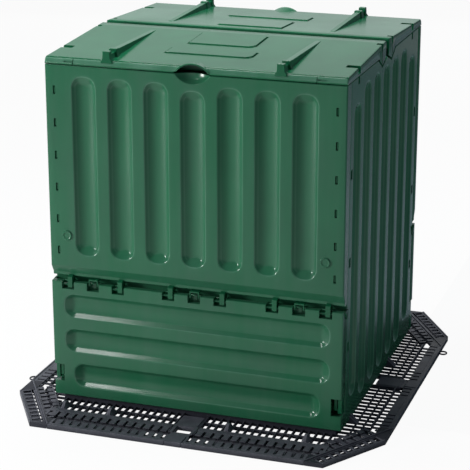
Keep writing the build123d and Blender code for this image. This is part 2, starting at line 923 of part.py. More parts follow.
with BuildPart() as grid_joiner_rear:
    add(grid_joiner_front.part, rotation=(0, 0, 180))

# One file for each piece
pieces = {
    "front_wall": front_wall,
    "rear_wall": rear_wall,
    "left_wall": left_wall,
    "right_wall": right_wall,
    "front_flap": front_flap,
    "rear_flap": rear_flap,
    "front_lid": front_lid,
    "rear_lid": rear_lid,
    "ridge_beam": ridge_beam,
    "grid_front_left": grid_front_left,
    "grid_front_right": grid_front_right,
    "grid_rear_left": grid_rear_left,
    "grid_rear_right": grid_rear_right,
    "grid_edge_front_left": grid_edge_front_left,
    "grid_edge_front_right": grid_edge_front_right,
    "grid_edge_rear_left": grid_edge_rear_left,
    "grid_edge_rear_right": grid_edge_rear_right,
    "grid_joiner_front": grid_joiner_front,
    "grid_joiner_rear": grid_joiner_rear,
    "grid_joiner_left": grid_joiner_left,
    "grid_joiner_right": grid_joiner_right,
}
for name, piece in pieces.items():
    piece.part.label = name
    export_step(piece.part, f"parts/{name}.step")
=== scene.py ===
import logging
import math
from dataclasses import dataclass, field
from enum import Enum
from functools import partial
from typing import Any, Sequence

import bmesh
import bpy
import numpy as np
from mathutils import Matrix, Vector


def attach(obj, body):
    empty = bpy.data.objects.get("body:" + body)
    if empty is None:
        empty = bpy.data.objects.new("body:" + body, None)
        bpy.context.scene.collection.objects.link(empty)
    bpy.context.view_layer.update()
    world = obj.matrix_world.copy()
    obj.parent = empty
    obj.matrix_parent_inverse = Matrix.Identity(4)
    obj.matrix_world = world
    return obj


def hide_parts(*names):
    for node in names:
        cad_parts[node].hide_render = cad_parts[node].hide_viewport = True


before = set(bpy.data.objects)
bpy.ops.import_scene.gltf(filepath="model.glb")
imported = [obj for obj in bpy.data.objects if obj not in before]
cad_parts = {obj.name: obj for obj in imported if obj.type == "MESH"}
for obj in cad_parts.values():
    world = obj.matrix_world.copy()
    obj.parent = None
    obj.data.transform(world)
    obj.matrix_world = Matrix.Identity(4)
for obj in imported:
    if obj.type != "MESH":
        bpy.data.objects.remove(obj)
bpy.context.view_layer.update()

LOG = logging.getLogger("compost_bin")
MM = 0.001
PHOTO_PIXELS = 470
SENSOR_MM = 36.0
SHARP_DEG = 38.0
BEVEL_DEG = 40.0
BEVEL_SEGMENTS = 2
MERGE_MM = 0.01
LINE_MARGIN = 0.1
LINE_GAP = 0.12
STEP_GAP = 0.15
CORNER_SHARE = 2.2
ZERO = 1e-6

Pair = tuple[float, float]
Triple = tuple[float, float, float]
# First and last grid line and the widest pitch between
Lines = tuple[float, float, float]
# First and last place of a sweep and the number of places
Sweep = tuple[float, float, int]

# Sizes shared by several sub-assemblies, in millimetres
HALF_BIN = 400.0
SKIN = 4.0
PANEL_DEPTH = 38.0
BIN_FOOT = 24.0
WALL_TOP = 936.0
SEAM = HALF_BIN - PANEL_DEPTH
GROOVE_PITCH = 590.0 / 6.0
GROOVE_STEPS = np.arange(7) - 3.0
PANEL_FOOT = 396.0
FLAP_FOOT = 27.0
FLAP_TOP = 351.0
TONGUE_HEIGHTS = np.linspace(439.0, 870.0, 6)
HINGE_PLACES = (-354.0, -212.0, -71.0, 71.0, 212.0, 354.0)
CLIP_PLACES = (-283.0, 0.0, 283.0)
# Depth behind the front face and height of the flap's hinge
FLAP_HINGE = (10.0, 342.0)


# Colour and shader helpers


def srgb(code: str) -> tuple[float, float, float, float]:
    """Turns an sRGB hex colour to linear light.

    Args:
        code: Six hex digits.

    Returns:
        Linear red, green, blue and an alpha of one.
    """
    parts = np.array([int(code[i : i + 2], 16) for i in (0, 2, 4)]) / 255.0
    linear = np.where(parts <= 0.04045, parts / 12.92, ((parts + 0.055) / 1.055) ** 2.4)
    return (*linear.tolist(), 1.0)


def add_node(tree: bpy.types.NodeTree, kind: str, settings: dict[Any, Any] | None = None,
             links: dict[Any, bpy.types.NodeSocket] | None = None) -> bpy.types.Node:
    """Adds one shader node with its settings and links.

    Args:
        tree: Node tree that gets the node.
        kind: Blender's name of the node type.
        settings: Values by attribute name, or by input where no attribute has that name.
        links: Output sockets by the input that they feed.

    Returns:
        The new node.
    """
    made = tree.nodes.new(kind)
    for key, value in (settings or {}).items():
        if isinstance(key, str) and hasattr(made, key):
            setattr(made, key, value)
        else:
            made.inputs[key].default_value = value
    for key, socket in (links or {}).items():
        tree.links.new(socket, made.inputs[key])
    return made


def fresh_tree(owner: bpy.types.Material | bpy.types.World) -> bpy.types.NodeTree:
    """Empties the node tree of a material or of the surroundings and returns it."""
    owner.use_nodes = True
    owner.node_tree.nodes.clear()
    return owner.node_tree


@dataclass(frozen=True)
class MouldedPlastic:
    """Injection-moulded polypropylene: a satin skin with fine spark-eroded grain.

    To the eye that gives soft highlights and cloudy colour from the flow in the mould. A pale tone is painted in
    by a point attribute: on scuffed rims, and as painted highlights and sheen that stand in for light.
    The grain is drawn at grain_mm, coarser than the real tenth of a millimetre, so that it shows in the render.
    """

    name: str
    colour: str
    cloud: str
    # Pale tone painted in for highlights, sheen and scuffed rims
    rubbed_and_lit: str
    roughness: float
    roughness_swing: float
    grain_mm: float
    cloud_mm: float
    streak_mm: float
    grain_height_mm: float
    rubbed_and_lit_share: float
    streak_stretch: Triple = (1.0, 1.0, 0.12)
    cloud_span: Pair = (0.12, 0.42)
    gloss_span: Pair = (0.3, 0.7)
    ior: float = 1.49
    specular_level: float = 0.35

    def material(self) -> bpy.types.Material:
        """Makes the material once and returns it."""
        found = bpy.data.materials.get(self.name)
        if found:
            return found
        made = bpy.data.materials.new(self.name)
        tree = fresh_tree(made)
        place = add_node(tree, "ShaderNodeTexCoord").outputs["Object"]
        stretched = add_node(tree, "ShaderNodeMapping", {"Scale": self.streak_stretch}, {"Vector": place})
        # Size in millimetres, detail, roughness and coordinates of the flow clouds, the streaks and the grain
        patterns = ((self.cloud_mm, 4.0, 0.55, place), (self.streak_mm, 3.0, 0.6, stretched.outputs[0]),
                    (self.grain_mm, 2.0, 0.5, place))
        cloud, streak, grain = [
            add_node(tree, "ShaderNodeTexNoise",
                     {"Scale": 1.0 / (size * MM), "Detail": detail, "Roughness": roughness},
                     {"Vector": vector}).outputs["Fac"]
            for size, detail, roughness, vector in patterns
        ]
        mottled = add_node(tree, "ShaderNodeMath", {"operation": "MULTIPLY"}, {0: cloud, 1: streak})
        tint_share = add_node(tree, "ShaderNodeMapRange",
                              {"From Min": self.cloud_span[0], "From Max": self.cloud_span[1]},
                              {"Value": mottled.outputs[0]})
        tint = add_node(tree, "ShaderNodeMix",
                        {"data_type": "RGBA", 6: srgb(self.colour), 7: srgb(self.cloud)},
                        {0: tint_share.outputs[0]})
        # The point attribute mixes in the pale tone: painted highlights and sheen where light falls, and scuffed
        # rims
        wear_and_light = add_node(tree, "ShaderNodeAttribute", {"attribute_name": "wear_and_light"})
        broken = add_node(tree, "ShaderNodeMath", {"operation": "MULTIPLY"}, {0: wear_and_light.outputs["Fac"], 1: streak})
        # The streaks are about one half on average, so doubling keeps the share as written
        rubbed_and_lit_share = add_node(tree, "ShaderNodeMath", {"operation": "MULTIPLY", 1: 2.0 * self.rubbed_and_lit_share},
                                {0: broken.outputs[0]})
        rubbed_and_lit = add_node(tree, "ShaderNodeMix", {"data_type": "RGBA", 7: srgb(self.rubbed_and_lit)},
                          {0: rubbed_and_lit_share.outputs[0], 6: tint.outputs[2]})
        gloss = add_node(tree, "ShaderNodeMapRange",
                         {"From Min": self.gloss_span[0], "From Max": self.gloss_span[1],
                          "To Min": self.roughness - self.roughness_swing,
                          "To Max": self.roughness + self.roughness_swing},
                         {"Value": cloud})
        bump = add_node(tree, "ShaderNodeBump", {"Strength": 1.0, "Distance": self.grain_height_mm * MM},
                        {"Height": grain})
        skin = add_node(tree, "ShaderNodeBsdfPrincipled",
                        {"IOR": self.ior, "Specular IOR Level": self.specular_level},
                        {"Base Color": rubbed_and_lit.outputs[2], "Roughness": gloss.outputs[0],
                         "Normal": bump.outputs[0]})
        add_node(tree, "ShaderNodeOutputMaterial", None, {"Surface": skin.outputs[0]})
        return made


# Green walls and lids: through-coloured polypropylene, satin, painted paler along groove rims (scuffing and
# painted highlight), as painted highlight where groove flanks meet floors, and as painted sheen on groove floors
# and the lid's front skirt
GREEN = MouldedPlastic("green_moulded_polypropylene", "166441", "135739", "86b39c", roughness=0.19,
                       roughness_swing=0.04, grain_mm=1.6, cloud_mm=220.0, streak_mm=60.0,
                       grain_height_mm=0.008, rubbed_and_lit_share=0.28)
# Black ground grid: recycled polypropylene, duller, and painted greyer on its tops and stops as painted highlight
# for the light they catch
BLACK = MouldedPlastic("black_recycled_polypropylene", "34353e", "26272e", "868791", roughness=0.45,
                       roughness_swing=0.08, grain_mm=2.2, cloud_mm=90.0, streak_mm=30.0,
                       grain_height_mm=0.05, rubbed_and_lit_share=0.3)


# Mesh helpers


def soft_max(a: np.ndarray, b: np.ndarray | float, width: float) -> np.ndarray:
    """Larger of two fields, with the corner between them rounded over the given width."""
    return 0.5 * (a + b + np.sqrt((a - b) ** 2 + width**2))


def soft_min(a: np.ndarray, b: np.ndarray | float, width: np.ndarray | float) -> np.ndarray:
    """Smaller of two fields, with the corner between them rounded over the given width."""
    return 0.5 * (a + b - np.sqrt((a - b) ** 2 + width**2))


def step_lines(places: Sequence[float], gap: float = STEP_GAP) -> np.ndarray:
    """Pairs of grid lines close on both sides of each place, for a sharp step."""
    return np.concatenate([np.asarray(places, float) - gap, np.asarray(places, float) + gap])


def spaced(low: float, high: float, pitch: float) -> np.ndarray:
    """Even grid lines from low to high, no further apart than the pitch."""
    return np.linspace(low, high, int(math.ceil((high - low) / pitch)) + 1)


def merged_lines(*groups: Sequence[float], low: float, high: float) -> np.ndarray:
    """Sorted grid lines inside low to high, with near copies dropped."""
    lines = np.sort(np.concatenate([np.asarray(g, float).ravel() for g in groups]))
    lines = lines[(lines > low + LINE_MARGIN) & (lines < high - LINE_MARGIN)]
    return lines[np.concatenate([[True], np.diff(lines) > LINE_GAP])]


def both_sides(middle: np.ndarray | float, half: float) -> np.ndarray:
    """Places one half before and one half behind each middle."""
    return np.concatenate([np.atleast_1d(middle) - half, np.atleast_1d(middle) + half])


def between(values: np.ndarray, limits: Pair) -> np.ndarray:
    """Whether each value lies between two limits."""
    return (values > limits[0]) & (values < limits[1])


def full_turn(count: int) -> np.ndarray:
    """Even angles round a full turn."""
    return np.linspace(0.0, 2 * math.pi, count, endpoint=False)


def arc(centre: Pair, radius: float, turn: np.ndarray) -> np.ndarray:
    """Points of depth and height round a centre, one for each angle."""
    return np.column_stack([centre[0] + radius * np.cos(turn), centre[1] + radius * np.sin(turn)])


def directions(start: Sequence[float], end: Sequence[float]) -> tuple[np.ndarray, np.ndarray]:
    """Unit steps ahead from start to end and to the left of that."""
    ahead = np.subtract(end, start) / np.linalg.norm(np.subtract(end, start))
    return ahead, np.array([-ahead[1], ahead[0]])


def rounded(points: Sequence[Pair], radius: float, steps: int = 4) -> np.ndarray:
    """Rounds the corners of an open outline.

    Each corner becomes a quadratic curve that starts and ends one radius from it.

    Args:
        points: Corners of the outline.
        radius: Distance from the corner at which the curve starts.
        steps: Points on each curve.

    Returns:
        Points of the rounded outline, one in each row.
    """
    corners = np.asarray(points, float)
    t = np.linspace(0.0, 1.0, steps)[:, None]
    out = [corners[:1]]
    for before, corner, after in zip(corners[:-2], corners[1:-1], corners[2:]):
        back, ahead = before - corner, after - corner
        reach = min(radius, np.linalg.norm(back) / CORNER_SHARE, np.linalg.norm(ahead) / CORNER_SHARE)
        start = corner + back / np.linalg.norm(back) * reach
        end = corner + ahead / np.linalg.norm(ahead) * reach
        out.append((1 - t) ** 2 * start + 2 * t * (1 - t) * corner + t**2 * end)
    return np.concatenate([*out, corners[-1:]])


@dataclass
class Patch:
    """Points in millimetres, faces on them and how far each point is painted paler, for painted light and scuffed
    rims.
    """

    points: np.ndarray
    faces: list[tuple[int, ...]]
    wear_and_light: np.ndarray


def grid_patch(points: np.ndarray, wear_and_light: np.ndarray | None = None) -> Patch:
    """Joins a grid of points with quads, outwards where rows and columns turn left-handed.

    Args:
        points: Rows by columns by three.
        wear_and_light: Rows by columns, or nothing for none.

    Returns:
        The patch.
    """
    rows, columns = points.shape[:2]
    index = np.arange(rows * columns).reshape(rows, columns)
    quads = np.stack([index[:-1, :-1], index[:-1, 1:], index[1:, 1:], index[1:, :-1]], -1).reshape(-1, 4)
    rubbed_and_lit = np.zeros(rows * columns) if wear_and_light is None else wear_and_light.reshape(-1)
    return Patch(points.reshape(-1, 3), [tuple(q) for q in quads.tolist()], rubbed_and_lit)


BOX_CORNERS = np.array([[0, 0, 0], [1, 0, 0], [1, 1, 0], [0, 1, 0], [0, 0, 1], [1, 0, 1], [1, 1, 1], [0, 1, 1]])
BOX_FACES = np.array([[0, 3, 2, 1], [4, 5, 6, 7], [0, 1, 5, 4], [1, 2, 6, 5], [2, 3, 7, 6], [3, 0, 4, 7]])


def box_patch(low: np.ndarray, high: np.ndarray, wear_and_light: float = 0.0) -> Patch:
    """Many boxes from their lowest and highest corners: each corner mixes the two by its bits."""
    low, high = np.atleast_2d(low).astype(float), np.atleast_2d(high).astype(float)
    points = low[:, None] + BOX_CORNERS[None] * (high - low)[:, None]
    faces = (BOX_FACES[None] + 8 * np.arange(len(low))[:, None, None]).reshape(-1, 4)
    # Top corners get the given share of the pale tone and the feet none: a painted highlight on the tops
    rubbed_and_lit = np.tile(BOX_CORNERS[:, 2] * wear_and_light, len(low))
    return Patch(points.reshape(-1, 3), [tuple(f) for f in faces.tolist()], rubbed_and_lit)


def prism_patch(outline: np.ndarray, low: float, high: float) -> Patch:
    """Carries a closed outline in depth and height along the wall from low to high.

    Args:
        outline: Points of depth and height, turning left as seen along the carry.
        low: Place along the wall where it starts.
        high: Place along the wall where it ends.

    Returns:
        The patch, in columns of along, depth and height.
    """
    count = len(outline)
    near = np.column_stack([np.full(count, low), outline])
    far = np.column_stack([np.full(count, high), outline])
    i = np.arange(count)
    j = (i + 1) % count
    sides = np.stack([i, i + count, j + count, j], -1)
    faces = [tuple(f) for f in sides.tolist()]
    faces += [tuple(i.tolist()), tuple((i[::-1] + count).tolist())]
    return Patch(np.concatenate([near, far]), faces, np.zeros(2 * count))


def loft_patch(rings: np.ndarray, closed: bool = False) -> Patch:
    """Skin over closed rings of points, from the first ring to the last.

    Args:
        rings: Rings by points by three.
        closed: Whether the last ring joins the first; otherwise both ends get a face.

    Returns:
        The patch; its faces are turned outwards when the piece is made.
    """
    count, around = rings.shape[:2]
    index = np.arange(count * around).reshape(count, around)
    beside = np.roll(index, -1, 1)
    quads = np.stack([index, beside, np.roll(beside, -1, 0), np.roll(index, -1, 0)], -1)
    quads = (quads if closed else quads[:-1]).reshape(-1, 4)
    faces = [tuple(q) for q in quads.tolist()]
    if not closed:
        faces += [tuple(index[0].tolist()), tuple(index[-1].tolist())]
    return Patch(rings.reshape(-1, 3), faces, np.zeros(count * around))


def rod_patch(centre: Pair, radius: float, low: float, high: float, sides: int = 20) -> Patch:
    """Rod along the wall: a circle in depth and height carried from low to high."""
    return prism_patch(arc(centre, radius, full_turn(sides)), low, high)


def mirrored(patches: Sequence[Patch]) -> list[Patch]:
    """Patches turned over across the middle, with their faces turned back outwards."""
    return [Patch(p.points * [-1.0, 1.0, 1.0], [f[::-1] for f in p.faces], p.wear_and_light) for p in patches]


def turned(patches: Sequence[Patch]) -> list[Patch]:
    """Patches turned half round about the middle of the bin."""
    return [Patch(p.points * [-1.0, -1.0, 1.0], p.faces, p.wear_and_light) for p in patches]


class Side(Enum):
    """Side of the bin, with the quarter turns that carry the front there."""

    FRONT = 0
    RIGHT = 1
    REAR = 2
    LEFT = 3

    @property
    def word(self) -> str:
        """The side's name as it stands in the names of pieces."""
        return self.name.lower()

    def place(self, points: np.ndarray) -> np.ndarray:
        """Turns along, depth and height on this side into the part's frame.

        Args:
            points: Any shape that ends in three.

        Returns:
            The same shape, as x, y and z.
        """
        x, y = points[..., 0], points[..., 1] - HALF_BIN
        for _ in range(self.value):
            x, y = -y, x
        return np.stack([x, y, points[..., 2]], -1)

    def carry(self, patch: Patch) -> Patch:
        """The patch with its points turned into the part's frame."""
        return Patch(self.place(patch.points), patch.faces, patch.wear_and_light)


def make_piece(name: str, patches: Sequence[Patch], finish: MouldedPlastic, body: str, slot: str,
               stands_for: Sequence[str] = (), skin: float = 0.0, bevel: float = 0.0) -> bpy.types.Object:
    """Joins patches to one piece that rides on a body.

    Args:
        name: Name of the piece.
        patches: Its patches, in millimetres.
        finish: What it is made of.
        body: The body that it moves with.
        slot: Material slot of the record; not used.
        stands_for: CAD nodes that it replaces.
        skin: Wall thickness in millimetres, added inwards, or none.
        bevel: Width of softened edges in millimetres, or none.

    Returns:
        The object.
    """
    starts = np.cumsum([0] + [len(p.points) for p in patches])
    points = np.concatenate([p.points for p in patches]) * MM
    faces = [tuple(i + int(s) for i in f) for p, s in zip(patches, starts) for f in p.faces]
    mesh = bpy.data.meshes.new(name)
    mesh.from_pydata(points.tolist(), [], faces)
    # Point attribute of how far each point is painted paler: painted highlights and sheen, and scuffed rims
    pale_layer = mesh.attributes.new("wear_and_light", "FLOAT", "POINT")
    pale_layer.data.foreach_set("value", np.concatenate([p.wear_and_light for p in patches]).astype(np.float32))
    work = bmesh.new()
    work.from_mesh(mesh)
    if skin:
        bmesh.ops.remove_doubles(work, verts=work.verts, dist=MERGE_MM * MM)
        bmesh.ops.dissolve_degenerate(work, edges=work.edges, dist=MERGE_MM * MM)
    else:
        bmesh.ops.recalc_face_normals(work, faces=work.faces)
    work.to_mesh(mesh)
    work.free()
    mesh.polygons.foreach_set("use_smooth", np.ones(len(mesh.polygons), bool))
    mesh.set_sharp_from_angle(angle=math.radians(SHARP_DEG))
    made = bpy.data.objects.new(name, mesh)
    bpy.context.scene.collection.objects.link(made)
    mesh.materials.append(finish.material())
    if skin:
        wall = made.modifiers.new("wall", "SOLIDIFY")
        wall.thickness = skin * MM
        wall.offset = -1.0
    if bevel:
        soft = made.modifiers.new("soft_edges", "BEVEL")
        soft.width = bevel * MM
        soft.segments = BEVEL_SEGMENTS
        soft.limit_method = "ANGLE"
        soft.angle_limit = math.radians(BEVEL_DEG)
        soft.harden_normals = True
    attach(made, body)
    if stands_for:
        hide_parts(*stands_for)
    LOG.info("%s: %d points on body %s", name, len(mesh.vertices), body)
    return made


GREEN_PIECE = partial(make_piece, finish=GREEN, slot="green_plastic")
BLACK_PIECE = partial(make_piece, finish=BLACK, body="bin", slot="black_plastic")


# Walls and flaps


@dataclass(frozen=True)
class Groove:
    """Moulded groove: sloping flanks round a stadium outline, a hollowed floor, and a flat ramp at each end."""

    centre: float
    low: float
    high: float
    width: float = 67.0
    depth: float = 14.5
    floor_radius: float = 52.0
    flank_slope: float = 0.98
    ramp_slope: float = 0.5
    rim: float = 1.0
    crease: float = 1.0
    end_crease: float = 5.0
    ramp_fold: float = 0.8
    # Painted sheen on the floor, which makes it paler and greyer than the ramps
    floor_sheen: float = 0.0
    floor_sheen_fade: float = 2.0
    # Pale line on the rim: partly scuffed plastic, partly painted highlight
    rim_line_depth: float = 1.0
    rim_line_width: float = 0.9
    # Pale line where the flanks meet the floor: painted highlight
    foot_highlight: float = 0.6
    foot_highlight_width: float = 1.3
    far_outside: float = -40.0
    end_overrun: float = 8.0
    end_run: float = 40.0
    end_pitch: float = 1.7
    middle_pitch: float = 90.0
    line_offsets: tuple[float, ...] = (6.0, 3.6, 2.2, 1.2, 0.5, -0.2, -1.0, -2.2, -4.2, -6.4, -8.2, -9.4, -10.4,
                                       -11.6, -13.6, -16.5, -20.0, -24.0, -28.5)

    def sink(self, across: np.ndarray, along: np.ndarray) -> tuple[np.ndarray, np.ndarray]:
        """Depth of the groove over the wall, and how far it is painted paler.

        The depth is the least of the flank, which falls with the distance inside the stadium outline, the floor,
        which is part of a cylinder, and the ramp, a plane that falls from the groove's end. The rim rounds off
        where the depth reaches zero. The crease at the flank's foot softens over the groove's ends.

        Args:
            across: Places across the groove.
            along: Places along the groove.

        Returns:
            Depths, zero far outside, and how far to paint the surface paler: a line on the rim, partly scuffing
            and partly painted highlight, a painted highlight line where the flanks meet the floor, and painted
            sheen on the floor.
        """
        half = self.width / 2
        reach = (self.high - self.low) / 2
        from_middle = np.abs(across - self.centre)
        from_centre = np.abs(along - (self.low + self.high) / 2)
        beyond = np.maximum(from_centre - reach + half, 0.0)
        flank = (half - np.hypot(from_middle, beyond)) * self.flank_slope
        floor = self.depth - self.floor_radius
        floor = floor + np.sqrt(self.floor_radius**2 - np.clip(from_middle, 0.0, half) ** 2)
        ramp = (reach - from_centre) * self.ramp_slope
        crease = self.crease + (self.end_crease - self.crease) * np.clip(2.0 * beyond / half, 0.0, 1.0)
        bowl = soft_min(flank, soft_min(floor, ramp, self.ramp_fold), crease)
        outside = soft_max(np.full_like(bowl, self.far_outside), 0.0, self.rim)
        depth = soft_max(bowl, 0.0, self.rim) - outside
        # Pale lines of painted highlight on the rim, partly scuffing too, and at the flanks' foot, and painted
        # sheen on the floor
        rim = np.exp(-(((depth - self.rim_line_depth) / self.rim_line_width) ** 2))
        foot = np.exp(-(((flank - floor) / self.foot_highlight_width) ** 2)) * (flank < ramp)
        floor_sheen = self.floor_sheen * np.clip((np.minimum(flank, ramp) - floor) / self.floor_sheen_fade, 0.0, 1.0)
        return depth, np.maximum.reduce([rim, self.foot_highlight * foot, floor_sheen])

    def across_lines(self) -> np.ndarray:
        """Grid lines across the groove, closest at its rims and where the flanks meet the floor."""
        reach = self.width / 2 + np.array(self.line_offsets)
        return self.centre + np.concatenate([-reach, [0.0], reach[::-1]])

    def along_lines(self) -> np.ndarray:
        """Grid lines along the groove, close over both ends."""
        start = spaced(-self.end_overrun, self.end_run, self.end_pitch)
        middle = spaced(self.low + self.end_run, self.high - self.end_run, self.middle_pitch)
        return np.concatenate([self.low + start, self.high - start, middle])


@dataclass
class Panel:
    """Moulded tray wall: a face with grooves, turned back at its edges.

    The face is a grid of along and height. Its depth is the larger of the plan's depth at that column and the
    section's depth at that row, sunk by the grooves and by the recesses of each kind of panel.
    """

    side: Side
    half_run: float
    section: Sequence[Pair]
    grooves: list[Groove]
    level: bool = False
    back: float = PANEL_DEPTH
    edge_radius: float = 3.0
    along_extra: list[np.ndarray] = field(default_factory=list)
    height_extra: list[np.ndarray] = field(default_factory=list)

    def shape(self, along: np.ndarray, depth: np.ndarray, height: np.ndarray) -> tuple[np.ndarray, ...]:
        """Recesses of this kind of panel; the plain panel has none."""
        return along, depth, height

    def sheet(self) -> Patch:
        """Computes the whole sheet.

        Returns:
            The patch in the part's frame.
        """
        across = [g.along_lines() if self.level else g.across_lines() for g in self.grooves]
        upward = [g.across_lines() if self.level else g.along_lines() for g in self.grooves]
        plan = rounded([(-self.half_run, self.back), (-self.half_run, 0.0), (self.half_run, 0.0),
                        (self.half_run, self.back)], self.edge_radius)
        half = len(plan) // 2
        run = merged_lines(*across, *self.along_extra, low=plan[half - 1, 0], high=plan[half, 0])
        columns = np.concatenate([plan[:half], np.column_stack([run, np.zeros(len(run))]), plan[half:]])
        section = rounded(self.section, self.edge_radius)
        on_face = np.flatnonzero(np.abs(section[:, 0]) < ZERO)
        first, last = on_face[0], on_face[-1]
        rise = merged_lines(*upward, *self.height_extra, low=section[first, 1], high=section[last, 1])
        face = np.column_stack([np.zeros(len(rise)), rise])
        rows = np.concatenate([section[: first + 1], face, section[last:]])
        along = np.broadcast_to(columns[None, :, 0], (len(rows), len(columns))).copy()
        height = np.broadcast_to(rows[:, 1:2], along.shape).copy()
        depth = np.maximum(columns[None, :, 1], rows[:, :1])
        sunk, wear_and_light = np.zeros_like(depth), np.zeros_like(depth)
        for groove in self.grooves:
            fallen, rubbed_and_lit = groove.sink(*((height, along) if self.level else (along, height)))
            sunk, wear_and_light = np.maximum(sunk, fallen), np.maximum(wear_and_light, rubbed_and_lit)
        along, depth, height = self.shape(along, depth + sunk, height)
        return grid_patch(self.side.place(np.stack([along, depth, height], -1)), wear_and_light)


# Depth and height of the end wall's section: lip behind the hooks, chamfer, face and top
END_WALL_SECTION = ((PANEL_DEPTH, 341.0), (34.0, 341.0), (34.0, 364.0), (14.0, 364.0), (14.0, 373.0),
                    (0.0, PANEL_FOOT), (0.0, WALL_TOP), (PANEL_DEPTH, WALL_TOP))
SIDE_WALL_SECTION = ((PANEL_DEPTH, BIN_FOOT), (0.0, BIN_FOOT), (0.0, WALL_TOP), (PANEL_DEPTH, WALL_TOP))
FLAP_DEPTH = 37.5
FLAP_SECTION = ((FLAP_DEPTH, FLAP_FOOT), (0.0, FLAP_FOOT), (0.0, FLAP_TOP), (20.0, FLAP_TOP), (20.0, 347.0),
                (FLAP_DEPTH, 325.0))


@dataclass
class EndWall(Panel):
    """Front or rear wall above the flap, with finger scoop, tongue slits and round bosses."""

    groove_foot: float = PANEL_FOOT + 28.0
    groove_head: float = WALL_TOP - 23.0
    middle_groove_head: float = WALL_TOP - 38.0
    # Painted sheen on the groove floors
    groove_floor_sheen: float = 0.25
    scoop_radius: float = 57.6
    scoop_centre: float = WALL_TOP - 25.0 + 57.6
    scoop_depth: float = 21.0
    scoop_flank_slope: float = 1.6
    scoop_least: float = 0.6
    scoop_crease: float = 1.5
    scoop_rim: float = 0.9
    scoop_margin: float = 4.0
    scoop_dish_centre: float = WALL_TOP + 10.0
    scoop_dish_radius: float = 57.0
    scoop_columns: Lines = (-60.0, 60.0, 1.6)
    scoop_rows: Lines = (908.0, 933.0, 1.3)
    slit_place: float = 376.0
    slit_half_width: float = 3.1
    slit_half_height: float = 10.5
    slit_depth: float = 15.0
    boss_place: float = 351.0
    boss_height: float = 481.0
    boss_radius: float = 13.0
    boss_margin: float = 2.0
    boss_pitch: float = 1.6
    boss_rise: float = 3.2
    boss_dish: float = 1.6
    boss_wall: float = 4.0
    boss_flank: float = 1.2
    hook_bore: float = 4.8
    hook_bore_deg: Sweep = (-60.0, 240.0, 18)
    hook_heel: float = 8.8
    hook_heel_deg: Sweep = (8.0, -60.0, 6)
    hook_front: tuple[Pair, ...] = ((4.5, 334.0), (1.5, 335.5), (1.5, 365.0), (14.5, 369.0), (30.0, 369.0),
                                    (33.0, 366.0))
    hook_ends: Pair = (-1.0, 12.0)
    hook_bevel: float = 0.6
    clip_low: tuple[Triple, ...] = ((-13.0, 4.0, 358.0), (-13.0, 4.0, 344.0), (10.0, 4.0, 344.0),
                                    (-5.0, 13.0, 336.0))
    clip_high: tuple[Triple, ...] = ((13.0, 27.0, 362.0), (-10.0, 7.0, 359.0), (13.0, 7.0, 359.0),
                                     (5.0, 16.0, 350.0))

    @classmethod
    def on(cls, side: Side) -> "EndWall":
        """The end wall of a side, with seven upright grooves, the middle one shorter under the scoop."""
        heads = np.where(GROOVE_STEPS == 0, cls.middle_groove_head, cls.groove_head)
        grooves = [Groove(step * GROOVE_PITCH, cls.groove_foot, head, floor_sheen=cls.groove_floor_sheen)
                   for step, head in zip(GROOVE_STEPS, heads)]
        made = cls(side, HALF_BIN, END_WALL_SECTION, grooves)
        edges = both_sides(cls.slit_place, cls.slit_half_width)
        reach = cls.boss_radius + cls.boss_margin
        boss = spaced(-reach, reach, cls.boss_pitch)
        made.along_extra = [step_lines(np.concatenate([edges, -edges])), cls.boss_place + boss,
                            -cls.boss_place + boss, spaced(*cls.scoop_columns)]
        made.height_extra = [step_lines(both_sides(TONGUE_HEIGHTS, cls.slit_half_height)),
                             cls.boss_height + boss, spaced(*cls.scoop_rows)]
        return made

    def shape(self, along: np.ndarray, depth: np.ndarray, height: np.ndarray) -> tuple[np.ndarray, ...]:
        """Sinks the scoop and the slits and raises the bosses.

        The scoop is the lesser of a flank, which falls with the distance inside a circle, and a dish, a parabola
        round its own centre. A boss is a soft round step with a lower soft round step cut into it.
        """
        inside = self.scoop_radius - np.hypot(along, height - self.scoop_centre)
        from_dish = np.hypot(along, height - self.scoop_dish_centre)
        dish = np.maximum(self.scoop_depth - from_dish**2 / (2.0 * self.scoop_dish_radius), self.scoop_least)
        bowl = soft_min(inside * self.scoop_flank_slope, dish, self.scoop_crease)
        depth = np.where(inside > -self.scoop_margin, soft_max(bowl, depth, self.scoop_rim), depth)
        nearest = np.abs(height[..., None] - TONGUE_HEIGHTS).min(-1)
        slit = np.abs(np.abs(along) - self.slit_place) < self.slit_half_width
        depth = np.where(slit & (nearest < self.slit_half_height), depth + self.slit_depth, depth)
        from_boss = np.hypot(np.abs(along) - self.boss_place, height - self.boss_height)
        hollow = self.boss_radius - self.boss_wall
        for radius, rise in ((self.boss_radius, -self.boss_rise), (hollow, self.boss_dish)):
            depth = depth + rise * np.clip((radius - from_boss) / self.boss_flank + 0.5, 0.0, 1.0)
        return along, depth, height

    def hooks(self) -> list[Patch]:
        """Snap hooks round the flap's rods, and a bracket with a small tongue in the middle of each group.

        A hook is one outline of depth and height, open below for the rod, carried over the hook's width.
        """
        bore = arc(FLAP_HINGE, self.hook_bore, np.radians(np.linspace(*self.hook_bore_deg)))
        heel = arc(FLAP_HINGE, self.hook_heel, np.radians(np.linspace(*self.hook_heel_deg)))
        outline = np.concatenate([bore, self.hook_front, heel])
        near, far = self.hook_ends
        patches = [prism_patch(outline, x + near, x + far) for x in HINGE_PLACES]
        low, high = np.array(self.clip_low), np.array(self.clip_high)
        patches += [box_patch(low + [x, 0.0, 0.0], high + [x, 0.0, 0.0]) for x in CLIP_PLACES]
        return [self.side.carry(p) for p in patches]

    def build(self) -> None:
        """Makes the panel and its hooks, in green on the bin."""
        wall = f"{self.side.word}_wall"
        GREEN_PIECE(f"{wall}_panel", [self.sheet()], body="bin", stands_for=[wall], skin=SKIN)
        GREEN_PIECE(f"{wall}_hooks", self.hooks(), body="bin", bevel=self.hook_bevel)


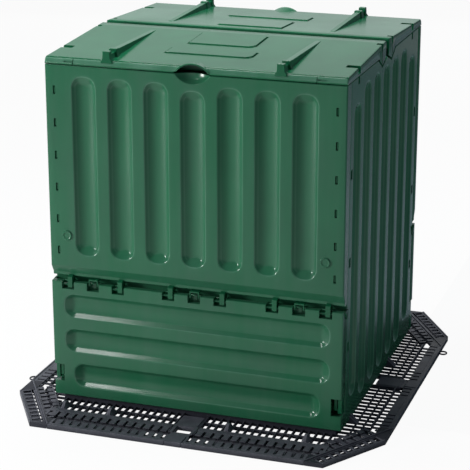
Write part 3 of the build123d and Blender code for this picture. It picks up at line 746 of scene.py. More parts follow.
@dataclass
class SideWall(Panel):
    """Full-height wall between the end walls, with a V notch for the lids' ears, vents, tongues and latch lugs."""

    groove_ends: Pair = (28.0, 27.0)
    outer_groove_ends: Pair = (60.0, 63.0)
    corner_radius: float = 2.0
    notch_depth: float = 15.0
    notch_reach: float = 94.0
    notch_places: Triple = (0.0, 50.0, 92.0)
    notch_heights: Triple = (928.0, 909.0, 934.0)
    notch_margin: float = 0.2
    notch_lines: tuple[float, ...] = (-86.0, -50.0, 0.0, 50.0, 86.0)
    notch_columns: Lines = (-90.0, 90.0, 4.0)
    notch_rows: Lines = (910.0, 934.0, 1.5)
    vent_place: float = 345.0
    vent_heights: Triple = (241.0, 468.0, 699.0)
    vent_half_width: float = 8.0
    vent_half_height: float = 13.0
    latch_place: float = 290.0
    latch_half_width: float = 7.0
    latch_foot: float = WALL_TOP - 18.0
    hole_depth: float = 12.0
    tongue_tip: float = 397.5
    tongue_depths: Pair = (22.0, 26.0)
    tongue_half_height: float = 8.5
    tongue_bevel: float = 1.0
    # Tip, near and far depth and foot of each latch lug
    lugs: tuple[tuple[float, ...], ...] = ((391.0, 1.5, 12.0, 72.0), (389.0, 14.0, 22.0, 79.0))
    lug_head: float = 110.0

    @classmethod
    def on(cls, side: Side) -> "SideWall":
        """The wall of a side, with seven upright grooves of two lengths."""
        ends = [cls.outer_groove_ends if abs(step) == 3 else cls.groove_ends for step in GROOVE_STEPS]
        grooves = [Groove(step * GROOVE_PITCH, BIN_FOOT + foot, WALL_TOP - head)
                   for step, (foot, head) in zip(GROOVE_STEPS, ends)]
        made = cls(side, SEAM, SIDE_WALL_SECTION, grooves, edge_radius=cls.corner_radius)
        holes = np.concatenate([both_sides(cls.vent_place, cls.vent_half_width),
                                both_sides(cls.latch_place, cls.latch_half_width)])
        made.along_extra = [np.array(cls.notch_lines), spaced(*cls.notch_columns),
                            step_lines(np.concatenate([holes, -holes]))]
        vents = both_sides(np.array(cls.vent_heights), cls.vent_half_height)
        made.height_extra = [step_lines([*vents, cls.latch_foot]), spaced(*cls.notch_rows)]
        return made

    def shape(self, along: np.ndarray, depth: np.ndarray, height: np.ndarray) -> tuple[np.ndarray, ...]:
        """Sinks the V notch, the vents and the slots for the lids' latches."""
        vee = np.interp(np.abs(along), self.notch_places, self.notch_heights)
        notch = (height > vee + self.notch_margin) & (np.abs(along) < self.notch_reach)
        depth = np.where(notch, np.maximum(depth, self.notch_depth), depth)
        nearest = np.abs(height[..., None] - np.array(self.vent_heights)).min(-1)
        aside = np.abs(along)
        vent = (np.abs(aside - self.vent_place) < self.vent_half_width) & (nearest < self.vent_half_height)
        latch = (np.abs(aside - self.latch_place) < self.latch_half_width) & (height > self.latch_foot)
        return along, np.where(vent | latch, np.maximum(depth, self.hole_depth), depth), height

    def fittings(self) -> list[Patch]:
        """Tongues that stand in the end walls' slits, and lugs in the flaps' latch windows."""
        patches = []
        same = np.ones_like(TONGUE_HEIGHTS)
        near, far = self.tongue_depths
        for end in (-1.0, 1.0):
            first, last = np.sort([end * SEAM, end * self.tongue_tip])
            low = np.column_stack([first * same, near * same, TONGUE_HEIGHTS - self.tongue_half_height])
            high = np.column_stack([last * same, far * same, TONGUE_HEIGHTS + self.tongue_half_height])
            patches.append(box_patch(low, high))
            for tip, front, behind, foot in self.lugs:
                first, last = np.sort([end * SEAM, end * tip])
                patches.append(box_patch(np.array([first, front, foot]), np.array([last, behind, self.lug_head])))
        return [self.side.carry(p) for p in patches]

    def build(self) -> None:
        """Makes the panel and its tongues and lugs, in green on the bin."""
        wall = f"{self.side.word}_wall"
        GREEN_PIECE(f"{wall}_panel", [self.sheet()], body="bin", stands_for=[wall], skin=SKIN)
        GREEN_PIECE(f"{wall}_tongues", self.fittings(), body="bin", bevel=self.tongue_bevel)


@dataclass
class Flap(Panel):
    """Hinged bottom flap with level grooves, hinge notches along its lip and latch windows at its ends."""

    groove_reaches: Triple = (347.0, 371.0, 371.0)
    lowest_groove: float = BIN_FOOT + 64.0
    groove_pitch: float = 98.0
    groove_floor_radius: float = 90.0
    groove_rim: float = 0.8
    groove_crease: float = 0.6
    groove_ramp_fold: float = 2.5
    corner_radius: float = 2.5
    notch_half_width: float = 17.0
    notch_foot: float = 331.0
    notch_depth: float = 20.0
    window_edge: float = 372.0
    window_heights: Pair = (66.0, 114.0)
    face_columns: Lines = (-380.0, 380.0, 60.0)
    rod_radius: float = 3.8
    rod_half: float = 19.0

    @classmethod
    def on(cls, side: Side) -> "Flap":
        """The flap of a side, with three level grooves, the lowest one shorter."""
        grooves = [Groove(cls.lowest_groove + cls.groove_pitch * i, -reach, reach,
                          floor_radius=cls.groove_floor_radius, rim=cls.groove_rim, crease=cls.groove_crease,
                          ramp_fold=cls.groove_ramp_fold)
                   for i, reach in enumerate(cls.groove_reaches)]
        made = cls(side, HALF_BIN, FLAP_SECTION, grooves, level=True, back=FLAP_DEPTH,
                   edge_radius=cls.corner_radius)
        edges = both_sides(np.array(HINGE_PLACES + CLIP_PLACES), cls.notch_half_width)
        made.along_extra = [step_lines([*edges, cls.window_edge, -cls.window_edge]), spaced(*cls.face_columns)]
        made.height_extra = [step_lines([cls.notch_foot, *cls.window_heights])]
        return made

    def shape(self, along: np.ndarray, depth: np.ndarray, height: np.ndarray) -> tuple[np.ndarray, ...]:
        """Sinks the hinge notches and cuts the latch windows out of both ends."""
        nearest = np.abs(along[..., None] - np.array(HINGE_PLACES + CLIP_PLACES)).min(-1)
        notch = (nearest < self.notch_half_width) & (height > self.notch_foot)
        depth = np.where(notch, np.maximum(depth, self.notch_depth), depth)
        low, high = self.window_heights
        window = (np.abs(along) > self.window_edge) & (height > low) & (height < high)
        along = np.where(window, np.sign(along) * self.window_edge, along)
        return along, np.where(window, self.back, depth), height

    def rods(self) -> list[Patch]:
        """Hinge rods across the six hook notches."""
        return [self.side.carry(rod_patch(FLAP_HINGE, self.rod_radius, x - self.rod_half, x + self.rod_half))
                for x in HINGE_PLACES]

    def build(self) -> None:
        """Makes the panel and its rods, in green on the flap's own body."""
        flap = f"{self.side.word}_flap"
        GREEN_PIECE(f"{flap}_panel", [self.sheet()], body=flap, stands_for=[flap], skin=SKIN)
        GREEN_PIECE(f"{flap}_rods", self.rods(), body=flap)


# Lids


@dataclass
class Lid:
    """Half of the roof: a sloping tray with ribs, pads, a finger hood, side ears and a slotted ridge wall.

    The tray is a grid of along and section. Each row has a depth and a height on the section, and pads, pockets
    and the hood change the rows of the top. The outermost columns drop to the lid's foot.
    """

    side: Side
    foot: float = 938.2
    eave: float = 955.0
    ridge: float = 973.0
    ridge_depth: float = 385.0
    wall_foot: float = 946.0
    # Depth and height from the skirt's foot over its leaning front and the thin groove behind it
    front_profile: tuple[Pair, ...] = (
        (0.0, 940.8), (1.1, 941.9), (1.4, 943.4), (1.5, 943.7), (3.0, 947.2), (3.1, 947.5), (3.6, 948.8),
        (5.2, 952.4), (5.8, 953.1), (6.6, 953.3), (7.0, 951.8), (8.4, 951.8), (8.8, 954.6), (9.3, 955.2))
    back_profile: tuple[Pair, ...] = ((384.1, 972.1), (385.0, 970.0), (385.0, 966.15), (385.0, 965.85))
    slope: Pair = (10.0, 382.0)
    top: Pair = (9.0, 384.0)
    # Place along the lid and drop below the surface at its sides
    edge_profile: tuple[Pair, ...] = ((400.0, 99.0), (400.0, 3.0), (399.1, 0.9), (397.0, 0.0))
    skirt_drop: float = 50.0
    # Reach and heights of the front skirt's painted sheen
    skirt_sheen_reach: float = 6.8
    skirt_sheen_heights: Pair = (941.5, 953.4)
    mark_place: float = 336.0
    mark_half: float = 11.0
    mark_heights: Pair = (943.55, 947.35)
    tick_place: float = 322.2
    tick_half: float = 1.2
    tick_head: float = 950.0
    mark_reach: float = 3.8
    mark_depth: float = 3.0
    mark_lines: tuple[float, ...] = (321.0, 323.4, 325.0, 347.0)
    hood_radius: float = 58.5
    hood_rise: float = 9.5
    hood_lean: float = 0.16
    hood_reach: float = 80.0
    hood_columns: Lines = (-60.0, 60.0, 2.5)
    hood_rows: Lines = (10.0, 61.0, 3.0)
    plain_columns: Lines = (-396.0, 396.0, 40.0)
    plain_rows: Lines = (0.0, 382.0, 30.0)
    # Half width, near and far depth of each pad
    pads: tuple[Triple, ...] = ((90.0, 223.0, 338.0), (115.0, 118.0, 173.0))
    pad_height: float = 2.5
    pad_flank: float = 1.2
    pad_moat: float = 3.2
    moat_depth: float = 2.6
    pad_corner: float = 22.0
    corner_lines: Lines = (-3.0, 24.0, 1.6)
    # Near and far depth, bite into the side and sunk height of each pocket
    pockets: tuple[tuple[float, ...], ...] = ((100.0, 122.0, 33.0, 15.0), (338.0, 352.0, 15.0, 14.0))
    ear_depths: Pair = (314.0, 350.0)
    ear_heights: Pair = (915.9, 929.3)
    ear_slit: Pair = (342.0, 348.0)
    ear_slit_edge: float = 398.0
    ear_slit_floor: float = 396.0
    slot_place: float = 260.0
    slot_half_width: float = 27.5
    slot_head: float = 966.0
    slot_depth: float = 384.5
    rib_place: float = 230.0
    rib_depths: Sweep = (58.0, 334.0, 8)
    rib_start: float = 14.0
    rib_root: float = 3.0
    # Half width at the base, half width at the top and height of a rib: at the ridge, and what the eave adds
    rib_base: Pair = (8.0, 2.5)
    rib_top: Pair = (7.4, 0.6)
    rib_rise: Pair = (0.8, 19.0)
    rib_bevel: float = 1.5
    post_outline: tuple[Pair, ...] = ((-16.0, 948.0), (16.0, 948.0), (15.0, 955.0), (10.5, 961.0), (9.5, 979.0),
                                      (-9.5, 979.0), (-10.5, 961.0), (-15.0, 955.0))
    # Near and far depth, share of the outline's width and lift of its top, from the post to the knob behind it
    post_parts: tuple[tuple[float, ...], ...] = ((0.4, 15.0, 1.0, 0.0), (15.0, 46.0, 0.7, -9.0),
                                                 (46.0, 62.0, 1.12, -1.5))
    web_depths: Pair = (145.0, 262.0)
    web_ends: Pair = (80.0, 325.0)
    web_places: Pair = (-120.0, 120.0)
    web_half: float = 2.0
    web_height: float = 12.0
    web_root: float = 2.0
    web_reach: float = 396.0
    hood_web: tuple[Triple, Triple] = ((-62.0, 44.0, 937.5), (62.0, 47.0, 954.0))
    hinge: Pair = (377.0, 956.0)
    rod_radius: float = 5.0
    rod_half: float = 29.5
    cheek_places: Pair = (-31.5, 27.5)
    cheek_low: Pair = (367.0, 946.0)
    cheek_high: Pair = (381.0, 969.0)
    cheek_width: float = 4.0

    def surface(self, depth: np.ndarray) -> np.ndarray:
        """Height of the plain slope at a depth behind the front face."""
        return self.eave + depth * (self.ridge - self.eave) / self.ridge_depth

    def lower_edge(self, depth: np.ndarray) -> np.ndarray:
        """Height of the side skirt's lower edge, with the ear beside the ridge."""
        return np.interp(depth, [0.0, *self.ear_depths, self.ridge_depth],
                         [self.foot, self.foot, *self.ear_heights])

    def pad_rise(self, along: np.ndarray, depth: np.ndarray) -> np.ndarray:
        """Raised pads, each a soft step inside its outline with a narrow moat before it.

        The outline is a rectangle whose right front corner is round; the step follows the distance inside it.
        """
        rise = np.zeros_like(along)
        radius = self.pad_corner
        for half, low, high in self.pads:
            round_x, round_y = along - (half - radius), (low + radius) - depth
            corner = radius - np.hypot(np.maximum(round_x, 0.0), np.maximum(round_y, 0.0))
            inside = np.minimum.reduce([half - np.abs(along), depth - low, high - depth])
            inside = np.where((round_x > 0) & (round_y > 0), corner, inside)
            step = self.pad_height * np.clip(inside / self.pad_flank, 0.0, 1.0)
            moat = (inside < 0.0) & (inside > -self.pad_moat)
            rise = np.where(moat, -self.moat_depth, np.where(step > 0.0, step, rise))
        return rise

    def columns(self) -> np.ndarray:
        """Grid columns: place along the lid and drop below the surface, full at the two skirts."""
        bites = [HALF_BIN - bite for _, _, bite, _ in self.pockets]
        pads = [[half + self.pad_moat, half, half - self.pad_flank] for half, _, _ in self.pads]
        steps = np.concatenate([both_sides(self.slot_place, self.slot_half_width), bites, self.mark_lines, *pads])
        corners = [half - spaced(*self.corner_lines) for half, _, _ in self.pads]
        edge = np.array(self.edge_profile)
        lines = merged_lines(step_lines(np.concatenate([steps, -steps])), *corners, spaced(*self.hood_columns),
                             spaced(*self.plain_columns), low=-edge[-1, 0], high=edge[-1, 0])
        return np.concatenate([edge * [-1.0, 1.0], np.column_stack([lines, np.zeros(len(lines))]), edge[::-1]])

    def rows(self) -> np.ndarray:
        """Grid rows: depth and height along the section from the front skirt's foot to the ridge wall's foot."""
        moat, flank = self.pad_moat, self.pad_flank
        pads = [[low - moat, low, low + flank, high - flank, high, high + moat] for _, low, high in self.pads]
        corners = [low + spaced(*self.corner_lines) for _, low, _ in self.pads]
        pockets = [[low, high] for low, high, _, _ in self.pockets]
        first, last = self.slope
        lines = merged_lines(step_lines(np.concatenate([*pads, *pockets, self.ear_slit])), *corners,
                             self.ear_depths, spaced(*self.hood_rows), spaced(*self.plain_rows),
                             low=first, high=last)
        lines = np.concatenate([[first], lines, [last]])
        slope = np.column_stack([lines, self.surface(lines)])
        return np.concatenate([[(0.0, self.foot)], self.front_profile, slope, self.back_profile,
                               [(self.ridge_depth, self.wall_foot)]])

    def sheet(self) -> Patch:
        """Computes the whole tray.

        The hood is an arc over the middle that leans down towards the ridge. Where it is higher than the top, it
        takes the top's place.

        Returns:
            The patch in the part's frame.
        """
        columns, rows = self.columns(), self.rows()
        along = np.broadcast_to(columns[None, :, 0], (len(rows), len(columns))).copy()
        depth = np.broadcast_to(rows[:, :1], along.shape).copy()
        plain = np.broadcast_to(rows[:, 1:], along.shape).copy()
        drop = columns[None, :, 1]
        aside = np.abs(along)
        rise = self.pad_rise(along, depth)
        for low, high, bite, sunk in self.pockets:
            rise = np.where((aside > HALF_BIN - bite) & between(depth, (low, high)), -sunk, rise)
        height = plain + np.where(between(depth, self.top), rise, 0.0)
        hood = self.eave + self.hood_rise - self.hood_radius - self.hood_lean * depth
        hood = hood + np.sqrt(np.clip(self.hood_radius**2 - along**2, 0.0, None))
        arch = (aside < self.hood_radius) & (depth < self.hood_reach)
        height = np.where(arch, np.maximum(height, hood), height)
        mark = (np.abs(aside - self.mark_place) < self.mark_half) & between(plain, self.mark_heights)
        tick = (np.abs(aside - self.tick_place) < self.tick_half) & (plain < self.tick_head)
        # The front skirt is painted paler: painted sheen for the light it catches
        rubbed_and_lit = between(plain, self.skirt_sheen_heights) & (depth < self.skirt_sheen_reach)
        depth = np.where((mark | tick) & (depth < self.mark_reach), depth + self.mark_depth, depth)
        slot = (np.abs(aside - self.slot_place) < self.slot_half_width) & (depth > self.slot_depth)
        height = np.where(slot, np.maximum(height, self.slot_head), height)
        edge = self.lower_edge(depth)
        height = np.where(drop > 0, np.maximum(height - drop, edge), height)
        height = np.where(drop > self.skirt_drop, edge, height)
        slit = (aside > self.ear_slit_edge) & between(depth, self.ear_slit)
        along = np.where(slit, np.sign(along) * self.ear_slit_floor, along)
        return grid_patch(self.side.place(np.stack([along, depth, height], -1)), 1.0 * rubbed_and_lit)

    def ribs(self) -> list[Patch]:
        """Ribs that taper from the eave to the ridge, each with a flared post at the eave and a knob behind it.

        A rib is a four-cornered section carried back along the slope while its width and height fall evenly.
        """
        patches = []
        depths = np.linspace(*self.rib_depths)[:, None]
        end = self.rib_depths[1]
        fall = (end - depths) / (end - self.rib_start)
        base, top, rise = [least + more * fall for least, more in (self.rib_base, self.rib_top, self.rib_rise)]
        floor = self.surface(depths) - self.rib_root
        head = floor + self.rib_root + rise
        outline = np.array(self.post_outline)
        for place in (-self.rib_place, self.rib_place):
            across = place + np.concatenate([-base, base, top, -top], 1)
            height = np.concatenate([floor, floor, head, head], 1)
            patches.append(loft_patch(np.stack([across, np.broadcast_to(depths, across.shape), height], -1)))
            for near, far, scale, lift in self.post_parts:
                ring = np.column_stack([place + outline[:, 0] * scale, np.zeros(len(outline)), outline[:, 1]])
                ring[outline[:, 1] == outline[:, 1].max(), 2] += lift
                patches.append(loft_patch(np.stack([ring + [0.0, near, 0.0], ring + [0.0, far, 0.0]])))
        return [self.side.carry(p) for p in patches]

    def fittings(self) -> list[Patch]:
        """Stiffening webs under the tray, and the hinge rods with their cheeks behind the ridge wall."""
        patches = []
        half, reach = self.web_half, self.web_reach
        for depth in self.web_depths:
            top = self.surface(depth) - self.web_root
            patches.append(box_patch(np.array([-reach, depth - half, top - self.web_height]),
                                     np.array([reach, depth + half, top])))
        patches.append(box_patch(*np.array(self.hood_web)))
        ends = np.array(self.web_ends)
        tops = self.surface(ends) - self.web_root
        feet = tops - self.web_height
        web = np.array([[ends[0], tops[0]], [ends[0], feet[0]], [ends[1], feet[1]], [ends[1], tops[1]]])
        patches += [prism_patch(web, x - half, x + half) for x in self.web_places]
        for place in (-self.slot_place, self.slot_place):
            patches.append(rod_patch(self.hinge, self.rod_radius, place - self.rod_half, place + self.rod_half))
            for cheek in self.cheek_places:
                patches.append(box_patch(np.array([place + cheek, *self.cheek_low]),
                                         np.array([place + cheek + self.cheek_width, *self.cheek_high])))
        return [self.side.carry(p) for p in patches]

    def build(self) -> None:
        """Makes the shell, its ribs and its webs, in green on the lid's own body."""
        lid = f"{self.side.word}_lid"
        GREEN_PIECE(f"{lid}_shell", [self.sheet()], body=lid, stands_for=[lid], skin=SKIN)
        GREEN_PIECE(f"{lid}_ribs", self.ribs(), body=lid, bevel=self.rib_bevel)
        GREEN_PIECE(f"{lid}_webs", self.fittings(), body=lid)


# Ground grid


@dataclass(frozen=True)
class PlateRow:
    """Row of thin plates over a hollow rail: its edges and the ends of its cross slots, inwards from the rim.

    The row starts and reaches beyond the rail by start and reach. Ties of the given width join it to the row
    before it, from tie_start on.
    """

    near: float
    far: float
    slot_near: float
    slot_far: float
    height: float = 12.0
    start: float = 0.0
    reach: float = 0.0
    tie: float = 0.0
    tie_start: float = 0.0
    slot: float = 7.5


@dataclass
class GroundGrid:
    """Segmented ground grid: slotted rails round an octagon, small meshes and a kerb under the walls."""

    half_width: float = 515.0
    half_depth: float = 570.0
    cut_x: float = 350.5
    cut_y: float = -305.5
    corner_x: float = 400.0
    corner_y: float = -385.0
    top: float = 14.0
    plate_top: float = 12.0
    lip: float = 4.0
    sheet: float = 3.5
    rail_floor: float = 2.5
    rail_start: float = 23.4
    tie_top: float = 2.0
    slot_pitch: float = 23.0
    mesh: float = 23.0
    cell: float = 20.0
    bar: float = 3.5
    bar_top: float = 10.5
    # Share of painted highlight on the bars' tops
    bar_highlight: float = 0.6
    crossing_drop: float = 0.5
    side_bar_top: float = 7.0
    side_lines: int = 3
    side_edge: float = 58.0
    apron: float = 8.0
    border: float = 4.0
    border_top: float = 12.0
    border_ends: Pair = (459.0, -504.0)
    # Share of painted highlight on the border's top
    border_highlight: float = 0.5
    # Outer and inner half width and height
    kerb: Triple = (382.0, 360.0, 24.0)
    # Share of painted highlight on the kerb's top
    kerb_highlight: float = 0.1
    front_rows: tuple[PlateRow, ...] = (
        PlateRow(4.0, 44.0, 16.0, 44.0),
        PlateRow(62.0, 110.0, 62.0, 90.0, reach=36.0, tie=30.0, tie_start=70.0),
    )
    side_rows: tuple[PlateRow, ...] = (PlateRow(4.0, 36.0, 13.0, 36.0),)
    edge_rows: tuple[PlateRow, ...] = (
        PlateRow(4.0, 32.0, 9.0, 30.0, slot=15.0),
        PlateRow(37.0, 42.0, 42.0, 42.0, 11.0, tie=9.0),
    )
    cut_rows: tuple[PlateRow, ...] = (
        PlateRow(5.0, 26.0, 9.0, 26.0, 11.0, start=48.0, reach=-34.0, slot=11.0),
        PlateRow(34.0, 52.0, 34.0, 48.0, 10.0, start=84.0, reach=-50.0, tie=9.0),
    )
    every_place: tuple[int, int] = (1, 1)
    side_groups: tuple[int, int] = (4, 9)
    # Start, width, near and far edge and height of the ties behind the side rail, and the rim that they carry
    side_ties: tuple[float, ...] = (6.0, 8.0, 36.0, 57.0, 4.0)
    side_rim: Triple = (56.0, 59.5, 12.0)
    side_stop_outline: tuple[Pair, ...] = ((0.0, 0.0), (-40.0, 0.0), (-36.0, 5.0), (-9.0, 34.0), (0.0, 34.0))
    # Half width and share of the height of the stop's foot and of its fin
    side_stop_parts: tuple[Pair, ...] = ((10.0, 0.82), (3.0, 1.0))
    # Painted light over the whole side stop
    side_stop_light: float = 0.8
    # Place, height and half width of the front stop's sections, from the flap outwards
    front_stop_sections: tuple[Triple, ...] = ((-428.0, 6.0, 12.0), (-434.0, 15.0, 12.5), (-440.0, 17.5, 12.5),
                                               (-449.0, 18.5, 11.5), (-456.0, 12.0, 10.5), (-462.0, 4.0, 9.5))
    front_stop_shares: tuple[Pair, ...] = ((-1.0, 0.0), (1.0, 0.0), (0.55, 0.55), (0.35, 1.0), (-0.35, 1.0),
                                           (-0.55, 0.55))
    front_stop_foot: float = 10.0
    # Painted light over the whole front stop
    front_stop_light: float = 1.0
    joiner_half: float = 33.0
    joiner_gap: float = 1.0
    joiner_block: Pair = (22.6, 13.5)
    joiner_bars: Triple = (21.0, 27.0, 9.0)
    joiner_cross: Triple = (2.0, 24.0, 10.0)
    joiner_plate: Pair = (70.0, 11.0)
    joiner_step: Pair = (3.0, 12.5)
    # Sides round the ring and round its section, ring radius, half width and half height of the section
    loop_sides: tuple[int, int] = (28, 10)
    loop_radius: float = 11.2
    loop_section: Pair = (1.6, 2.6)
    loop_centre: Triple = (8.0, -275.5, 4.0)
    wing_inset: float = 42.0
    wing_gap: float = 1.0
    # Places of the two front stops and of the side stop on a quarter
    right_stops: tuple[Pair, float] = ((110.0, 321.0), -305.0)
    left_stops: tuple[Pair, float] = ((352.0, 220.0), -110.0)
    # Depth of the joiner's block and its whole reach inwards
    front_joiner: Pair = (44.0, 171.0)
    side_joiner: Pair = (36.0, 116.0)
    bevel: float = 0.7
    joiner_bevel: float = 0.9

    def along_edge(self, start: Pair, end: Pair, low: Sequence[Sequence[float]], high: Sequence[Sequence[float]],
                   wear_and_light: float = 1.0) -> Patch:
        """Boxes measured along an edge, inwards from it and up.

        Args:
            start: First point of the edge.
            end: Another point of the edge; inwards is to the left on the way there.
            low: Lowest corners as along, inwards and up.
            high: Highest corners in the same way.
            wear_and_light: How far the top is painted paler, a painted highlight for the light on it.

        Returns:
            The patch in the part's frame.
        """
        ahead, inward = directions(start, end)
        patch = box_patch(np.array(low, float), np.array(high, float), wear_and_light)
        flat = np.array(start) + patch.points[:, :1] * ahead + patch.points[:, 1:2] * inward
        return Patch(np.column_stack([flat, patch.points[:, 2]]), patch.faces, patch.wear_and_light)

    def rail(self, start: Pair, end: Pair, rows: Sequence[PlateRow], slots_in_group: tuple[int, int]) -> Patch:
        """Rail along the outline: a lip, and rows of plates parted by dark cross slots in groups.

        Args:
            start: First point of the outer edge.
            end: Last point of the outer edge; inwards is to the left on the way.
            rows: Its rows of plates.
            slots_in_group: How many slots follow each other, out of how many places.

        Returns:
            The patch in the part's frame.
        """
        length = math.dist(start, end)
        low, high = [(0.0, 0.0, 0.0)], [(length, self.lip, self.top)]
        before = self.lip
        for row in rows:
            first, last = row.start, length + row.reach
            count = int((last - first) // self.slot_pitch)
            places = first + (np.arange(count) + 0.5) * (last - first) / count
            middles = places[np.arange(count) % slots_in_group[1] < slots_in_group[0]]
            starts = np.concatenate([[first], middles + row.slot / 2])
            ends = np.concatenate([middles - row.slot / 2, [last]])
            under = row.height - self.sheet
            low.append((first, row.near, 0.0))
            high.append((last, row.far, self.rail_floor))
            for near, far in ((row.near, row.slot_near), (row.slot_far, row.far)):
                if far > near:
                    low.append((first, near, under))
                    high.append((last, far, row.height))
            low += [(s, row.slot_near, under) for s in starts]
            high += [(e, row.slot_far, row.height) for e in ends]
            ties = places[places > row.tie_start] if row.tie else []
            low += [(p - row.tie / 2, before, 0.0) for p in ties]
            high += [(p + row.tie / 2, row.near, self.tie_top) for p in ties]
            before = row.far
        # Plate tops get the full painted highlight
        return self.along_edge(start, end, low, high)

    def plate(self, corners: Sequence[Sequence[float]]) -> Patch:
        """Flat plate from the ground up over a closed outline."""
        flat = np.asarray(corners, float)
        return loft_patch(np.stack([np.column_stack([flat, np.full(len(flat), height)])
                                    for height in (0.0, self.plate_top)]))

    def slant(self) -> float:
        """How far the slanting cut runs to the right for each millimetre backwards."""
        return (self.half_width - self.cut_x) / (self.cut_y + self.half_depth)

    def limit_x(self, y: np.ndarray) -> np.ndarray:
        """Reach of the plate to the right at a depth, where the slanting cut starts."""
        return np.minimum(self.half_width, self.cut_x + (y + self.half_depth) * self.slant())

    def limit_y(self, x: np.ndarray) -> np.ndarray:
        """Reach of the plate to the front at a place, where the slanting cut starts."""
        return np.maximum(-self.half_depth, -self.half_depth + (x - self.cut_x) / self.slant())

    def bars(self, across: np.ndarray, start: np.ndarray | float, end: np.ndarray | float, level: bool,
             top: float) -> Patch:
        """Thin bars side by side.

        Args:
            across: Places of their middles.
            start: Where each bar starts.
            end: Where each bar ends.
            level: Whether they run from left to right; otherwise from front to back.
            top: How high they stand.

        Returns:
            The patch; crossing bars differ a little in height.
        """
        first, last = np.broadcast_to(start, across.shape), np.broadcast_to(end, across.shape)
        keep = last > first
        across, first, last = across[keep], first[keep], last[keep]
        foot, head = np.zeros(len(across)), np.full(len(across), top - (0.0 if level else self.crossing_drop))
        near, far = across - self.bar / 2, across + self.bar / 2
        low = (first, near, foot) if level else (near, first, foot)
        high = (last, far, head) if level else (far, last, head)
        return box_patch(np.column_stack(low), np.column_stack(high), self.bar_highlight)

    def lattice(self) -> list[Patch]:
        """Meshes under the bin, in two rows before it and in three rows beside it, up to the slanting corner."""
        outer, inner, _ = self.kerb
        front, side = -self.half_depth + self.front_rows[-1].far, self.half_width - self.side_edge
        edge, high, low = self.joiner_half, self.bar_top, self.side_bar_top
        floor = np.arange(self.mesh / 2, inner, self.mesh)
        row = np.array([(front - outer) / 2])
        columns = np.arange(edge + self.cell, outer + self.apron, self.cell)
        ticks = -np.arange(edge + self.mesh, -front, self.mesh)
        lines = np.linspace(outer + self.apron, side, self.side_lines + 1)[1:]
        return [
            self.bars(-floor, 0.0, inner, True, high),
            self.bars(floor, -inner, 0.0, False, high),
            self.bars(row, edge, self.limit_x(row), True, high),
            self.bars(columns, np.maximum(front, self.limit_y(columns)), -outer, False, high),
            self.bars(ticks, outer, np.minimum(side, self.limit_x(ticks)), True, low),
            self.bars(lines, np.maximum(front, self.limit_y(lines)), -edge, False, low),
        ]

    def quarter(self, loop: bool, front_stops: Sequence[float], side_stop: float) -> list[Patch]:
        """Front right quarter plate.

        Args:
            loop: Whether a hanging loop stands on the side rail.
            front_stops: Places of the low wall stops along the front.
            side_stop: Place of the tall wall stop on the side.

        Returns:
            Its patches in the part's frame.
        """
        outer, inner, height = self.kerb
        corner, side = (self.cut_x, -self.half_depth), (self.half_width, self.cut_y)
        side_end = (self.half_width, -self.rail_start)
        patches = self.lattice()
        patches.append(self.rail((self.rail_start, -self.half_depth), corner, self.front_rows, self.every_place))
        patches.append(self.rail(side, side_end, self.side_rows, self.side_groups))
        run = -self.rail_start - self.cut_y
        first, width, near, far, top = self.side_ties
        rim_near, rim_far, rim_top = self.side_rim
        ties = np.arange(first, run, self.mesh)
        low = [(t, near, 0.0) for t in ties] + [(0.0, rim_near, 0.0)]
        high = [(t + width, far, top) for t in ties] + [(run, rim_far, rim_top)]
        patches.append(self.along_edge(side, side_end, low, high))
        patches.append(self.rail(corner, side, self.cut_rows, self.every_place))
        depth = self.front_rows[0].far
        patches.append(self.plate([corner, (self.cut_x + depth * self.slant(), depth - self.half_depth),
                                   (self.cut_x, depth - self.half_depth)]))
        depth = self.side_rows[0].far
        patches.append(self.plate([side, (self.half_width - depth, self.cut_y),
                                   (self.half_width - depth, self.cut_y - depth / self.slant())]))
        patches.append(box_patch(np.array([[0.0, -outer, 0.0], [inner, -inner, 0.0]]),
                                 np.array([[outer, -inner, height], [outer, 0.0, height]]), self.kerb_highlight))
        edge, (side_border, front_border) = self.joiner_half, self.border_ends
        patches.append(box_patch(
            np.array([[edge, front_border, 0.0], [outer, -edge - self.border, 0.0]]),
            np.array([[edge + self.border, -outer, self.border_top], [side_border, -edge, self.border_top]]),
            self.border_highlight))
        patches += [self.front_stop(place) for place in front_stops]
        for half, share in self.side_stop_parts:
            outline = np.array(self.side_stop_outline) * [1.0, share]
            stop = prism_patch(outline, side_stop - half, side_stop + half)
            points = np.column_stack([outer - stop.points[:, 1], stop.points[:, 0], stop.points[:, 2] + self.top])
            # The whole side stop is painted paler as painted light
            patches.append(Patch(points, [f[::-1] for f in stop.faces], stop.wear_and_light + self.side_stop_light))
        if loop:
            patches.append(self.loop())
        return patches

    def front_stop(self, place: float) -> Patch:
        """Stop before the flap, low enough for its swing: a pointed section carried outwards over a hump.

        The section has six corners. Its height follows the hump, and its width falls towards the rail.
        """
        out, height, width = np.array(self.front_stop_sections).T[:, :, None]
        across, upward = np.array(self.front_stop_shares).T
        half, lift = across * width, upward * height + self.front_stop_foot
        made = loft_patch(np.stack([place + half, np.broadcast_to(out, half.shape), lift], -1))
        # The whole front stop is painted paler as painted light
        return Patch(made.points, made.faces, made.wear_and_light + self.front_stop_light)

